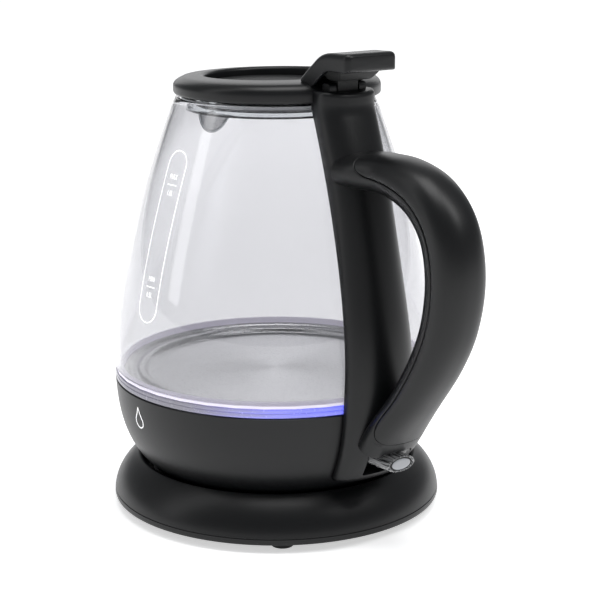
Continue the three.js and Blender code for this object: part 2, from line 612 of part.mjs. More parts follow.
// ---- Switch ----
function switchLever() {
  const oval = repeat(12, (i) => [
    (SWITCH.width / 2) * Math.cos(rad(30 * i)), (SWITCH.thickness / 2) * Math.sin(rad(30 * i))]);
  const length = SWITCH.tip - SWITCH.root;
  const lever = warped(oval, 1, (u, v, t) => [switchWall + SWITCH.root + t * length, u, SWITCH.height + v]);
  const bore = switchAxle(SWITCH.pin + GAP, 2 * SWITCH.width);
  return piece('switch_lever', cut(lever, bore), FINISH.clearPlastic);
}

function switchPin() {
  const length = SWITCH.width + 2 * SPINE.wall + 2 * GAP;
  return piece('switch_pivot_pin', switchAxle(SWITCH.pin, length), FINISH.steel);
}

// ---- Lid ----
function lidRing() {
  const edge = lidRadius;
  const hole = plugRadius + GAP;
  const outline = [
    [hole, lidBottom], [edge - 1.2, lidBottom],
    ...bend([edge, lidBottom + 1.5], [edge + 0.4, lidTop - 1], [edge - 9, lidTop], 5),
    ...bend([LID.recessRadius + 3, lidTop], [LID.recessRadius, lidTop], [LID.recessRadius, lidTop - 3], 3),
    [LID.recessRadius, recessFloor + GAP], [hole, recessFloor + GAP],
  ];
  return piece('lid_ring', turned(outline), FINISH.blackPlastic);
}

function lidInside() {
  const top = recessFloor - LID.panel - GAP;
  const skirt = [
    [plugRadius - PLUG.wall, plugBottom], [plugRadius, plugBottom], [plugRadius, top],
    [plugRadius - PLUG.wall, top],
  ];
  const window = block(PLUG.depth * 2, 2 * filterRadius * Math.sin(rad(FILTER.halfAngle)) + FILTER.clearance,
    (top - plugBottom) * 0.9, -plugRadius, 0, plugBottom);
  const low = GLASS.top - GASKET.bottomDepth;
  const gasket = ring(plugRadius + GAP, plugRadius + GASKET.width, low, low + GASKET.height);
  return [
    piece('lid_panel', ring(0, plugRadius, recessFloor - LID.panel, recessFloor), FINISH.darkPlastic),
    piece('lid_skirt', cut(turned(skirt), window), FINISH.clearPlastic),
    piece('lid_gasket', gasket, FINISH.silicone),
  ];
}

// A curved wall round the kettle's axis, centred on the pouring side.
function curvedWall(radius, thickness, halfAngle, bottom, top) {
  const shape = new THREE.Shape();
  shape.absarc(0, 0, radius, rad(180 - halfAngle), rad(180 + halfAngle), false);
  shape.absarc(0, 0, radius - thickness, rad(180 + halfAngle), rad(180 - halfAngle), true);
  return new THREE.ExtrudeGeometry(shape, { depth: top - bottom, bevelEnabled: false, curveSegments: 8 })
    .translate(0, 0, bottom);
}

function spoutFilter() {
  const top = recessFloor - LID.panel - GAP;
  const bottom = GLASS.top - FILTER.depth;
  const inner = FILTER.halfAngle - FILTER.edge;
  const frame = cut(
    curvedWall(filterRadius, FILTER.wall + 2 * GAP, FILTER.halfAngle, bottom, top),
    curvedWall(filterRadius + FILTER.frame, 4 * FILTER.frame, inner,
      bottom + FILTER.frame, top - FILTER.frame));
  const mesh = curvedWall(filterRadius - 2 * GAP, FILTER.wall / 2, inner - 2 * GAP,
    bottom + FILTER.frame + GAP, top - FILTER.frame - GAP);
  return [piece('filter_frame', frame, FINISH.darkPlastic), piece('filter_mesh', mesh, FINISH.stainless)];
}

// The bent thumb tab that opens the lid, with its hinge eye below.
function thumbTab() {
  const padTop = lidTop + TAB.rise;
  const padBottom = padTop - TAB.thickness;
  const padStart = hingeRadius + TAB.padStart;
  const padEnd = padStart + TAB.padLength;
  const root = lidTop + GAP;
  const rootStart = lidRadius - TAB.rootInset;
  const rootEnd = rootStart + TAB.rootDepth;
  const profile = [
    [rootStart, root], [rootEnd, root], [padStart + 1.6, padBottom], [padEnd - 1, padBottom],
    [padEnd, padBottom + 1], [padEnd, padTop - 1.4], [padEnd - 1.4, padTop], [padStart - 1, padTop],
  ];
  const slab = warped(profile, 1, (u, v, t) => [u, TAB.width / 2 - t * TAB.width, v]);
  const [back, front] = [hingeRadius + HINGE.eye, hingeRadius - HINGE.eye];
  const stem = [
    [front, hingeHeight - HINGE.eye], [back, hingeHeight - HINGE.eye], [back, padBottom],
    [rootEnd - 2, root + 1], [rootEnd - 2, root], [front, root],
  ];
  const eye = warped(stem, 1, (u, v, t) => [u, HINGE.eyeWidth * (0.5 - t), v]);
  const bore = hingeAxle(HINGE.pin + GAP, 2 * hingeWidth);
  return piece('thumb_tab', cut(joined(slab, eye), bore), FINISH.blackPlastic);
}

const lidHingePin = () => piece('lid_hinge_pin', hingeAxle(HINGE.pin, hingeWidth), FINISH.steel);

// ---- Whole kettle ----
const kettle = new THREE.Group();
kettle.position.z = -HUB.clearance;
kettle.add(powerBase(), contactShutter());
kettle.add(lowerHousing(), undersideCover(), ...kettleSocket(), ...heating(), ...ledLighting());
kettle.add(...undersideScrews.map(([x, y], i) => (
  screw(`underside_screw_${i + 1}`, x, y, coverBottom + UNDERSIDE_SCREWS.sink - GAP,
    UNDERSIDE_SCREWS.length))));
kettle.add(lightRing(), jugSeal(), heaterPlate(), glassJug());
kettle.add(spineCover(), spineBack(), handleInner(), gripCover(), ...steamParts());
kettle.add(switchLever(), switchPin());
kettle.add(lidRing(), ...lidInside(), ...spoutFilter(), thumbTab(), lidHingePin());

const group = new THREE.Group();
group.add(kettle);
export default group;
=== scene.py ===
"""Finished looks of a glass electric kettle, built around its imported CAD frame.

Every object is in metres, in the CAD frame: handle towards +X, pouring beak towards -X, water gauge
towards -Y. Heights in the outlines are in millimetres above the table that the feet stand on.
"""
from __future__ import annotations

import logging
import math
from collections.abc import Callable, Iterable, Sequence
from dataclasses import dataclass, field
from enum import Enum

import bmesh
import bpy
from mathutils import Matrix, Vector


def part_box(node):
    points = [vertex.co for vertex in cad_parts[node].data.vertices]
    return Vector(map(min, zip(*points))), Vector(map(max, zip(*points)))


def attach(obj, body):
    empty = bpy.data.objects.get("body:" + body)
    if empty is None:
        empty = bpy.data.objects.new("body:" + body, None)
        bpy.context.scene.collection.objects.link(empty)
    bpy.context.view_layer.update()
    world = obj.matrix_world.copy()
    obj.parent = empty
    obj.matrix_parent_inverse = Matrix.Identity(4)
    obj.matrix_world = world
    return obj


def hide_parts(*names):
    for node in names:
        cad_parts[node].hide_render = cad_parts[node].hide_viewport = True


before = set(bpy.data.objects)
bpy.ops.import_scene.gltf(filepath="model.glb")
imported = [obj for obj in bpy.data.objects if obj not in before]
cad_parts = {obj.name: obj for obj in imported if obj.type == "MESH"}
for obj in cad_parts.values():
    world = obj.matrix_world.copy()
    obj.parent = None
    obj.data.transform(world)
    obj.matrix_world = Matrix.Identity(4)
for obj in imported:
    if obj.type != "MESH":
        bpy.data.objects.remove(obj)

LOG = logging.getLogger("kettle")
MM = 0.001
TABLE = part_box("foot_1")[0].z
# Angles in degrees: past the first an edge is drawn sharp, past the second a softened one is rounded.
SHARP_JOIN = 40.0
ROUND_FROM = 32.0

Pair = tuple[float, float]
Triple = tuple[float, float, float]
Shape = list[Pair]


class Body(Enum):
    """The moving bodies of the kettle, by their CAD names."""

    BASE = "power_base"
    COLLAR = "contact_shutter"
    KETTLE = "kettle"
    LID = "lid"
    SWITCH = "switch"


class Edge(Enum):
    """How a grid of points closes along one of its two directions."""

    OPEN = "open"
    LOOP = "loop"


# ---- outlines


def bend(start: Pair, through: Pair, end: Pair, steps: int = 16) -> Shape:
    """Points of a quadratic curve.

    Args:
        start: First point, as radius and height in millimetres.
        through: Control point.
        end: Last point.
        steps: Number of chords.

    Returns:
        The points, both ends included.
    """
    points = []
    for i in range(steps + 1):
        t = i / steps
        a, b, c = (1 - t) ** 2, 2 * t * (1 - t), t * t
        points.append((a * start[0] + b * through[0] + c * end[0],
                       a * start[1] + b * through[1] + c * end[1]))
    return points


def rounded(corners: Sequence[Triple], closed: bool = True, steps: int = 5) -> Shape:
    """Rounds the corners of an outline.

    Args:
        corners: Each corner as x, y and how far from it the rounding starts.
        closed: Whether the last corner joins the first.
        steps: Chords in each rounding.

    Returns:
        The points of the rounded outline.
    """
    points: Shape = []
    count = len(corners)
    for i, (x, y, cut) in enumerate(corners):
        end = not closed and i in (0, count - 1)
        if cut <= 0 or end:
            points.append((x, y))
            continue
        here = Vector((x, y))
        before = Vector(corners[i - 1][:2]) - here
        after = Vector(corners[(i + 1) % count][:2]) - here
        start = here + before.normalized() * min(cut, before.length * 0.49)
        finish = here + after.normalized() * min(cut, after.length * 0.49)
        points.extend(bend(tuple(start), (x, y), tuple(finish), steps))
    return points


def radius_on(curve: Sequence[Pair], height: float) -> float:
    """The radius at which a rising list of points passes a height, by straight interpolation."""
    ordered = sorted(curve, key=lambda p: p[1])
    if height <= ordered[0][1]:
        return ordered[0][0]
    for (r0, z0), (r1, z1) in zip(ordered, ordered[1:]):
        if height <= z1:
            return r0 + (r1 - r0) * (height - z0) / max(z1 - z0, 1e-9)
    return ordered[-1][0]


def smooth(value: float, low: float, high: float) -> float:
    """Smooth step from 0 at low to 1 at high."""
    t = min(max((value - low) / (high - low), 0.0), 1.0)
    return t * t * (3 - 2 * t)


def mix(a: float, b: float, t: float) -> float:
    """Straight blend from a to b."""
    return a + (b - a) * t


# ---- meshes


def table_mm(corners: Sequence[Vector]) -> tuple[Triple, Triple]:
    """The low and high corners of a box, in millimetres above the table."""
    low, high = corners
    return (low.x / MM, low.y / MM, (low.z - TABLE) / MM), (high.x / MM, high.y / MM, (high.z - TABLE) / MM)


def linked(name: str, data: bpy.types.ID) -> bpy.types.Object:
    """An object that holds some data, linked to the scene."""
    obj = bpy.data.objects.new(name, data)
    bpy.context.scene.collection.objects.link(obj)
    return obj


def shaded(mesh: bpy.types.Mesh, sharp: float) -> None:
    """Smooths a mesh, apart from the edges past an angle in degrees."""
    mesh.shade_smooth()
    mesh.set_sharp_from_angle(angle=math.radians(sharp))


def new_object(name: str, verts: Iterable[Sequence[float]], faces: Iterable[Sequence[int]],
               sharp: float = 35.0) -> bpy.types.Object:
    """Makes an object from points in millimetres above the table.

    Args:
        name: Object name.
        verts: Points as x, y and height.
        faces: Corner numbers of each face.
        sharp: Angle in degrees past which an edge is drawn sharp.

    Returns:
        The linked object, with its place in its mesh.
    """
    mesh = bpy.data.meshes.new(name)
    mesh.from_pydata([(x * MM, y * MM, z * MM + TABLE) for x, y, z in verts], [], list(faces))
    mesh.validate()
    finish_mesh(mesh, sharp)
    return linked(name, mesh)


def finish_mesh(mesh: bpy.types.Mesh, sharp: float = 35.0) -> None:
    """Merges doubles, points the faces outwards and sets the smoothing."""
    bm = bmesh.new()
    bm.from_mesh(mesh)
    bmesh.ops.remove_doubles(bm, verts=bm.verts, dist=1e-7)
    bmesh.ops.recalc_face_normals(bm, faces=bm.faces)
    bm.to_mesh(mesh)
    bm.free()
    shaded(mesh, sharp)


def turned(name: str, outline: Shape, turns: int = 192,
           push: Callable[[float, float, float], float] | None = None,
           sharp: float = 35.0) -> bpy.types.Object:
    """A turned piece.

    Args:
        name: Object name.
        outline: Closed outline as radius and height, or one that starts and ends on the axis.
        turns: Facets round the axis.
        push: Outward shift in millimetres at angle, radius and height, if any.
        sharp: Angle past which an edge is drawn sharp.

    Returns:
        The object.
    """
    on_axis = outline[0][0] < 1e-6 and outline[-1][0] < 1e-6
    verts, faces = [], []
    count = len(outline)
    for k in range(turns):
        angle = 2 * math.pi * k / turns
        for r, z in outline:
            radius = r + (push(angle, r, z) if push else 0.0)
            verts.append((radius * math.cos(angle), radius * math.sin(angle), z))
    last = count - 1 if on_axis else count
    for k in range(turns):
        a, b = k * count, ((k + 1) % turns) * count
        for i in range(last):
            j = (i + 1) % count
            faces.append((a + i, b + i, b + j, a + j))
    return new_object(name, verts, faces, sharp)


def lofted(name: str, rings: Sequence[Sequence[Sequence[float]]], sharp: float = 35.0,
           ends: Edge = Edge.OPEN) -> bpy.types.Object:
    """A closed skin through rings of points, with a fan over each end ring.

    Args:
        name: Object name.
        rings: Rings with the same number of points, in order.
        sharp: Angle past which an edge is drawn sharp.
        ends: LOOP joins the last ring to the first instead of closing both.

    Returns:
        The object.
    """
    count = len(rings[0])
    verts = [tuple(p) for ring in rings for p in ring]
    faces = []
    spans = len(rings) if ends is Edge.LOOP else len(rings) - 1
    for k in range(spans):
        a, b = k * count, ((k + 1) % len(rings)) * count
        for i in range(count):
            j = (i + 1) % count
            faces.append((a + i, a + j, b + j, b + i))
    if ends is Edge.OPEN:
        for start in (0, (len(rings) - 1) * count):
            centre = len(verts)
            ring = verts[start:start + count]
            verts.append(tuple(sum(p[axis] for p in ring) / count for axis in range(3)))
            faces.extend((start + i, start + (i + 1) % count, centre) for i in range(count))
    return new_object(name, verts, faces, sharp)


def carved(obj: bpy.types.Object, tools: Sequence[bpy.types.Object], sharp: float = 35.0) -> bpy.types.Object:
    """Cuts tools out of an object and removes them."""
    for tool in tools:
        modifier = obj.modifiers.new("cut", "BOOLEAN")
        modifier.operation = "DIFFERENCE"
        modifier.solver = "EXACT"
        modifier.object = tool
    bake_modifiers(obj)
    for tool in tools:
        bpy.data.objects.remove(tool, do_unlink=True)
    shaded(obj.data, sharp)
    return obj


def bake_modifiers(obj: bpy.types.Object) -> None:
    """Turns an object's modifiers into plain mesh."""
    graph = bpy.context.evaluated_depsgraph_get()
    mesh = bpy.data.meshes.new_from_object(obj.evaluated_get(graph))
    obj.modifiers.clear()
    obj.data = mesh
    mesh.name = obj.name


def softened(obj: bpy.types.Object, width: float, segments: int) -> None:
    """Rounds an object's sharp edges by a width in millimetres."""
    modifier = obj.modifiers.new("soften", "BEVEL")
    modifier.width = width * MM
    modifier.segments = segments
    modifier.limit_method = "ANGLE"
    modifier.angle_limit = math.radians(ROUND_FROM)
    bake_modifiers(obj)
    shaded(obj.data, SHARP_JOIN)


def block(name: str, low: Sequence[float], high: Sequence[float]) -> bpy.types.Object:
    """A plain cutting block between two corners, in millimetres above the table."""
    xs, ys, zs = zip(low, high)
    verts = [(x, y, z) for x in xs for y in ys for z in zs]
    faces = [(0, 1, 3, 2), (4, 6, 7, 5), (0, 4, 5, 1), (2, 3, 7, 6), (0, 2, 6, 4), (1, 5, 7, 3)]
    return new_object(name, verts, faces)


def bar(name: str, path: Sequence[Vector], half: Pair, ups: Sequence[Vector], ends: Edge = Edge.OPEN,
        sides: int = 4) -> bpy.types.Object:
    """A thin bar along a path, such as a printed line or a moulded rim.

    Args:
        name: Object name.
        path: Points in millimetres above the table.
        half: Half its width and half its thickness.
        ups: Direction of its thickness at each point.
        ends: LOOP when the path closes on itself.
        sides: 4 for a flat line; more for an oval one.

    Returns:
        The object.
    """
    rings, count = [], len(path)
    for k, here in enumerate(path):
        before = path[k - 1] if k or ends is Edge.LOOP else here
        after = path[(k + 1) % count] if k < count - 1 or ends is Edge.LOOP else here
        side = (after - before).cross(ups[k]).normalized()
        ring = []
        for i in range(sides):
            a = 2 * math.pi * (i + 0.5) / sides
            grow = math.sqrt(2) if sides == 4 else 1.0
            ring.append(here + side * half[0] * grow * math.cos(a) + ups[k] * half[1] * grow * math.sin(a))
        rings.append(ring)
    return lofted(name, rings, SHARP_JOIN, ends)


def merged(name: str, pieces: Sequence[bpy.types.Object]) -> bpy.types.Object:
    """Joins pieces into the first of them, under a new name."""
    bm = bmesh.new()
    for piece in pieces:
        bm.from_mesh(piece.data)
    mesh = bpy.data.meshes.new(name)
    bm.to_mesh(mesh)
    bm.free()
    for piece in pieces:
        bpy.data.objects.remove(piece, do_unlink=True)
    shaded(mesh, SHARP_JOIN)
    return linked(name, mesh)


def place(obj: bpy.types.Object, body: Body, finish: "Finish", *nodes: str) -> None:
    """Dresses a piece, rides it on its body and hides the CAD nodes it stands for."""
    obj.data.materials.clear()
    obj.data.materials.append(finish.material())
    if nodes:
        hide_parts(*nodes)
    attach(obj, body.value)
    LOG.info("%s: %d faces on %s", obj.name, len(obj.data.polygons), body.value)


# ---- materials


def linear(code: str) -> tuple[float, float, float, float]:
    """A linear RGBA colour from an sRGB hex code."""
    values = [int(code[i:i + 2], 16) / 255 for i in (1, 3, 5)]
    return (*(v / 12.92 if v <= 0.04045 else ((v + 0.055) / 1.055) ** 2.4 for v in values), 1.0)


def add_node(tree: bpy.types.NodeTree, kind: str, settings: dict | None = None,
             inputs: dict | None = None) -> bpy.types.Node:
    """Adds a node to a tree.

    Args:
        tree: Shader or geometry tree.
        kind: Node type.
        settings: Values for the node's own properties.
        inputs: Socket names or numbers, each with a value or a socket to link from.

    Returns:
        The node.
    """
    node = tree.nodes.new(kind)
    for key, value in (settings or {}).items():
        setattr(node, key, value)
    for key, value in (inputs or {}).items():
        socket = node.inputs[key]
        if isinstance(value, bpy.types.NodeSocket):
            tree.links.new(value, socket)
        else:
            socket.default_value = value
    return node


@dataclass(frozen=True)
class Finish:
    """A surface finish: one Principled material with a fine grain.

    Attributes:
        name: The real material and how its surface was made.
        slot: The record's material slot; not used.
        colour: sRGB colour of the surface.
        shade: sRGB colour of the darker patches.
        roughness: Middle roughness.
        spread: How far the roughness varies.
        grain: Grain size in millimetres.
        bump: Grain height in millimetres.
        ior: Index of refraction.
        metallic: 1 for a metal.
        transmission: 1 for a clear material.
        glow_power: Strength of an even glow of the same colour.
        shine: Specular level; under 0.5 for a surface whose texture traps light.
        stretch: Scale of the grain along x, y and z, for brushed surfaces.
    """

    name: str
    slot: str
    colour: str
    shade: str
    roughness: float
    spread: float = 0.05
    grain: float = 0.8
    bump: float = 0.01
    ior: float = 1.5
    metallic: float = 0.0
    transmission: float = 0.0
    glow_power: float = 0.0
    shine: float = 0.5
    stretch: Triple = (1.0, 1.0, 1.0)

    def material(self) -> bpy.types.Material:
        """The material, made once and then reused."""
        found = bpy.data.materials.get(self.name)
        return found or self.make()

    def coordinates(self, tree: bpy.types.NodeTree) -> bpy.types.NodeSocket:
        """Object coordinates in millimetres, stretched along the grain."""
        where = add_node(tree, "ShaderNodeTexCoord")
        scale = tuple(s / MM for s in self.stretch)
        mapping = add_node(tree, "ShaderNodeMapping",
                           inputs={"Vector": where.outputs["Object"], "Scale": scale})
        return mapping.outputs["Vector"]

    def make(self) -> bpy.types.Material:
        """Builds the node tree."""
        material = bpy.data.materials.new(self.name)
        material.use_nodes = True
        tree = material.node_tree
        shader = tree.nodes["Principled BSDF"]
        even = {"IOR": self.ior, "Metallic": self.metallic, "Transmission Weight": self.transmission,
                "Specular IOR Level": self.shine, "Emission Color": linear(self.colour),
                "Emission Strength": self.glow_power}
        for socket, value in even.items():
            shader.inputs[socket].default_value = value
        vector = self.coordinates(tree)
        fine = add_node(tree, "ShaderNodeTexNoise", inputs={
            "Vector": vector, "Scale": 1.0 / self.grain, "Detail": 3.0, "Roughness": 0.6})
        broad = add_node(tree, "ShaderNodeTexNoise", inputs={
            "Vector": vector, "Scale": 0.03, "Detail": 2.0})
        colour = add_node(tree, "ShaderNodeMix", {"data_type": "RGBA"}, {
            "Factor": broad.outputs["Fac"], "A": linear(self.shade), "B": linear(self.colour)})
        tree.links.new(colour.outputs["Result"], shader.inputs["Base Color"])
        rough = add_node(tree, "ShaderNodeMapRange", inputs={
            "Value": fine.outputs["Fac"], "From Min": 0.3, "From Max": 0.7,
            "To Min": max(self.roughness - self.spread, 0.0), "To Max": self.roughness + self.spread})
        tree.links.new(rough.outputs["Result"], shader.inputs["Roughness"])
        if self.bump > 0:
            bump = add_node(tree, "ShaderNodeBump", inputs={
                "Height": fine.outputs["Fac"], "Strength": 0.6, "Distance": self.bump * MM})
            tree.links.new(bump.outputs["Normal"], shader.inputs["Normal"])
        self.extra(tree, shader, vector)
        return material

    def extra(self, tree: bpy.types.NodeTree, shader: bpy.types.Node, vector: bpy.types.NodeSocket) -> None:
        """Adds what a plain finish doesn't need; nothing here."""


@dataclass(frozen=True)
class LitRing(Finish):
    """Frosted acrylic light guide, lit most where the light-emitting diodes feed it."""

    glow: str = "#4552ff"
    pale: str = "#8f88d8"
    streak: float = 1.1
    fade: Pair = (25.0, 78.0)
    power: Pair = (0.02, 0.72)

    def extra(self, tree: bpy.types.NodeTree, shader: bpy.types.Node, vector: bpy.types.NodeSocket) -> None:
        """Emission that falls off round the ring from the diodes, in level streaks."""
        parts = add_node(tree, "ShaderNodeSeparateXYZ", inputs={0: vector})
        near = add_node(tree, "ShaderNodeMapRange", {"interpolation_type": "SMOOTHSTEP"}, {
            "Value": parts.outputs["X"], "From Min": self.fade[0], "From Max": self.fade[1]})
        level = add_node(tree, "ShaderNodeMapping",
                         inputs={"Vector": vector, "Scale": (0.02, 0.02, self.streak)})
        streaks = add_node(tree, "ShaderNodeTexNoise", inputs={
            "Vector": level.outputs["Vector"], "Scale": 1.0, "Detail": 3.0})
        bands = add_node(tree, "ShaderNodeMapRange", inputs={
            "Value": streaks.outputs["Fac"], "From Min": 0.35, "From Max": 0.65, "To Min": 0.45,
            "To Max": 1.3})
        tint = add_node(tree, "ShaderNodeMix", {"data_type": "RGBA"}, {
            "Factor": near.outputs["Result"], "A": linear(self.pale), "B": linear(self.glow)})
        power = add_node(tree, "ShaderNodeMapRange", inputs={
            "Value": near.outputs["Result"], "To Min": self.power[0], "To Max": self.power[1]})
        both = add_node(tree, "ShaderNodeMath", {"operation": "MULTIPLY"}, {
            0: power.outputs["Result"], 1: bands.outputs["Result"]})
        tree.links.new(tint.outputs["Result"], shader.inputs["Emission Color"])
        tree.links.new(both.outputs[0], shader.inputs["Emission Strength"])


@dataclass(frozen=True)
class BrushedDish(Finish):
    """Pressed stainless steel, spun-brushed in rings, so its highlights fan out from the middle."""

    ring_pitch: float = 0.45
    ring_height: float = 0.02
    anisotropy: float = 0.7

    def extra(self, tree: bpy.types.NodeTree, shader: bpy.types.Node, vector: bpy.types.NodeSocket) -> None:
        """Fine rings round the axis in bump, and a tangent for the fanned highlight."""
        parts = add_node(tree, "ShaderNodeSeparateXYZ", inputs={0: vector})
        flat = add_node(tree, "ShaderNodeCombineXYZ", inputs={0: parts.outputs["X"], 1: parts.outputs["Y"]})
        radius = add_node(tree, "ShaderNodeVectorMath", {"operation": "LENGTH"}, {0: flat.outputs[0]})
        line = add_node(tree, "ShaderNodeCombineXYZ", inputs={0: radius.outputs["Value"]})
        rings = add_node(tree, "ShaderNodeTexNoise", inputs={
            "Vector": line.outputs[0], "Scale": 1.0 / self.ring_pitch, "Detail": 4.0, "Roughness": 0.7})
        bump = add_node(tree, "ShaderNodeBump", inputs={
            "Height": rings.outputs["Fac"], "Strength": 0.5, "Distance": self.ring_height * MM})
        tree.links.new(bump.outputs["Normal"], shader.inputs["Normal"])
        around = add_node(tree, "ShaderNodeTangent", {"direction_type": "RADIAL", "axis": "Z"})
        tree.links.new(around.outputs["Tangent"], shader.inputs["Tangent"])
        shader.inputs["Anisotropic"].default_value = self.anisotropy


@dataclass(frozen=True)
class PaintedReflectionLines(Finish):
    """Clear plastic with painted dark and light lines along one way: painted reflections of its ribs."""

    # Colour of the painted dark lines: painted reflections of the ribs.
    dark: str = "#303234"

    def extra(self, tree: bpy.types.NodeTree, shader: bpy.types.Node, vector: bpy.types.NodeSocket) -> None:
        """Painted reflection lines in the colour that follow the stretched grain."""
        lines = add_node(tree, "ShaderNodeTexNoise", inputs={"Vector": vector, "Scale": 0.9, "Detail": 2.0})
        contrast = add_node(tree, "ShaderNodeMapRange", inputs={
            "Value": lines.outputs["Fac"], "From Min": 0.38, "From Max": 0.6})
        colour = add_node(tree, "ShaderNodeMix", {"data_type": "RGBA"}, {
            "Factor": contrast.outputs["Result"], "A": linear(self.dark), "B": linear(self.colour)})
        tree.links.new(colour.outputs["Result"], shader.inputs["Base Color"])


@dataclass(frozen=True)
class LitPaper(Finish):
    """Translucent backdrop paper, lit from below and more strongly further out."""

    near_power: float = 0.54
    far_power: float = 0.8
    near: float = 150.0
    far: float = 1500.0

    def extra(self, tree: bpy.types.NodeTree, shader: bpy.types.Node, vector: bpy.types.NodeSocket) -> None:
        """A glow that grows where the softboxes reach less, so that the ground stays white."""
        reach = add_node(tree, "ShaderNodeVectorMath", {"operation": "LENGTH"}, {0: vector})
        power = add_node(tree, "ShaderNodeMapRange", {"interpolation_type": "SMOOTHSTEP"}, {
            "Value": reach.outputs["Value"], "From Min": self.near, "From Max": self.far,
            "To Min": self.near_power, "To Max": self.far_power})
        shader.inputs["Emission Color"].default_value = linear("#ffffff")
        tree.links.new(power.outputs["Result"], shader.inputs["Emission Strength"])


# Spark-eroded, satin ABS: very fine even grain, broad soft highlights.
SATIN_BLACK = Finish("satin moulded ABS, black", "black_plastic", "#0b0c0e", "#08090a", 0.36, 0.05, 0.35,
                     0.016,
                     shine=0.36)
# The same plastic, coarser and duller where nobody looks.
MATT_BLACK = Finish("matt moulded ABS, black", "dark_plastic", "#0f1010", "#0b0c0c", 0.6, 0.05, 0.5, 0.02)
# Borosilicate glass: smooth, faintly cool, with a slight waviness from blowing.
JUG_GLASS = Finish("blown borosilicate glass", "jug_glass", "#e2e2e4", "#dfdfe1", 0.004, 0.003, 60.0, 0.05,
                   ior=1.47, transmission=1.0)
# Clear injection-moulded copolyester: like glass, a little softer and faintly grey.
CLEAR_PLASTIC = Finish("clear moulded copolyester", "clear_plastic", "#eef1f2", "#e6eaeb", 0.04, 0.02, 4.0,
                       0.01, ior=1.57, transmission=1.0)
# Frosted acrylic: milky, lavender where it is far from the diodes.
LIGHT_GUIDE = LitRing("frosted acrylic light guide", "glow_plastic", "#b9b7c2", "#9a98a4", 0.22, 0.08, 1.2,
                      0.01, ior=1.49, transmission=0.3)
# The same acrylic, water-clear, with painted dark and light lines along its length: painted reflections of
# its ribs.
LEVER_CLEAR = PaintedReflectionLines("striated clear acrylic", "clear_plastic", "#f2f3f4", "#9fa2a5", 0.1, 0.06, 0.7, 0.03,
                       ior=1.49, transmission=0.6, stretch=(0.1, 1.6, 1.6))
# The lever's lens: frosted behind, so it shows as one light oval.
LENS_FROST = Finish("frosted acrylic lens", "clear_plastic", "#b4b6ba", "#a3a5a9", 0.18, 0.06, 0.5, 0.01,
                    ior=1.49)
# Black-oxide steel rod: dark, slightly oily.
BLACK_STEEL = Finish("black-oxide steel rod", "steel", "#1b1b1c", "#141415", 0.4, 0.08, 0.8, 0.006,
                     metallic=0.6)
# Platinum-cured silicone: milky and matt.
SILICONE = Finish("milky silicone", "silicone", "#eceef0", "#e2e5e7", 0.4, 0.05, 0.6, 0.01, ior=1.41)
# The same silicone where the light ring shines into it: a pale lavender band under the glass.
SEAL_SILICONE = Finish("milky silicone, edge-lit", "silicone", "#e2deec", "#d6d2e2", 0.4, 0.05, 0.6, 0.01,
                       ior=1.41, glow_power=0.42)
# Natural rubber feet: dull, dusty black.
RUBBER = Finish("moulded rubber, black", "rubber", "#1c1c1d", "#141415", 0.8, 0.08, 0.6, 0.03)
# Stainless sheet, spun-brushed: fine rings that draw the light out into spokes.
STEEL_DISH = BrushedDish("spun-brushed stainless steel", "stainless", "#e4e4e5", "#d6d6d8", 0.3, 0.05, 0.6,
                         0.0, metallic=1.0)
# Fine drawn wire: a bright, soft glint.
STEEL_WIRE = Finish("drawn stainless wire", "stainless", "#a9abae", "#97999c", 0.32, 0.06, 0.4, 0.004,
                    metallic=1.0)
# Pressure-cast: grey, with a dull uneven sheen.
CAST_ALUMINIUM = Finish("cast aluminium", "aluminium", "#a3a7ab", "#8d9195", 0.45, 0.1, 1.5, 0.03,
                        metallic=1.0)
# Drawn contacts: warm and bright.
BRASS = Finish("bright drawn brass", "brass", "#b9974e", "#a58342", 0.3, 0.08, 1.0, 0.006, metallic=1.0)
# Plated screws: cool grey, slightly clouded.
ZINC_STEEL = Finish("zinc-plated steel", "steel", "#9a9da1", "#84878b", 0.35, 0.08, 0.8, 0.006, metallic=1.0)
# Green resist over copper: a soft gloss.
BOARD = Finish("solder-masked circuit board", "board", "#2c6b41", "#245a36", 0.4, 0.06, 0.9, 0.01)
# Cast epoxy: half clear, faintly blue.
LED_LENS = Finish("clear diode lens", "led", "#d8e2ff", "#c2d0ff", 0.15, 0.03, 2.0, 0.004, transmission=0.5)
# Baked enamel print on glass: flat white, slightly raised, with a painted glow that keeps it bright.
PRINT_WHITE_PAINTED_GLOW = Finish("fired enamel print, white", "silicone", "#ffffff", "#f4f4f4", 0.5, 0.05, 0.3, 0.004,
                     glow_power=0.55)

# Backdrop paper: flat white, lit from below.
FLOOR_PAPER = LitPaper("white backdrop paper", "dark_plastic", "#ffffff", "#fdfdfd", 0.7, 0.05, 1.0, 0.0)

NODE_FINISHES: dict[str, Finish] = {
    "base_bottom_plate": MATT_BLACK, "base_connector": MATT_BLACK, "kettle_socket": MATT_BLACK,
    "control_block": MATT_BLACK, "spine_back": MATT_BLACK,
    "contact_shutter": SATIN_BLACK, "underside_cover": SATIN_BLACK, "cord_inlet_bush": RUBBER,
    "jug_seal": SEAL_SILICONE, "lid_gasket": SILICONE, "steam_tube": SILICONE, "steam_thermostat": ZINC_STEEL,
    "heat_diffuser": CAST_ALUMINIUM, "heater_element": CAST_ALUMINIUM, "base_contact_outer": BRASS,
    "base_contact_inner": BRASS, "base_contact_earth": BRASS, "socket_ring_outer": BRASS,
    "socket_ring_inner": BRASS, "socket_pin": BRASS, "switch_pivot_pin": BLACK_STEEL,
    "lid_hinge_pin": BLACK_STEEL, "led_board": BOARD, "led_1": LED_LENS, "led_2": LED_LENS,
    **{f"base_screw_{i}": ZINC_STEEL for i in (1, 2, 3)},
    **{f"underside_screw_{i}": ZINC_STEEL for i in (1, 2, 3)},
}


def dress_nodes() -> None:
    """Gives every CAD node that stays its real material."""
    for name, finish in NODE_FINISHES.items():
        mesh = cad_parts[name].data
        mesh.materials.clear()
        mesh.materials.append(finish.material())


# ---- geometry trees


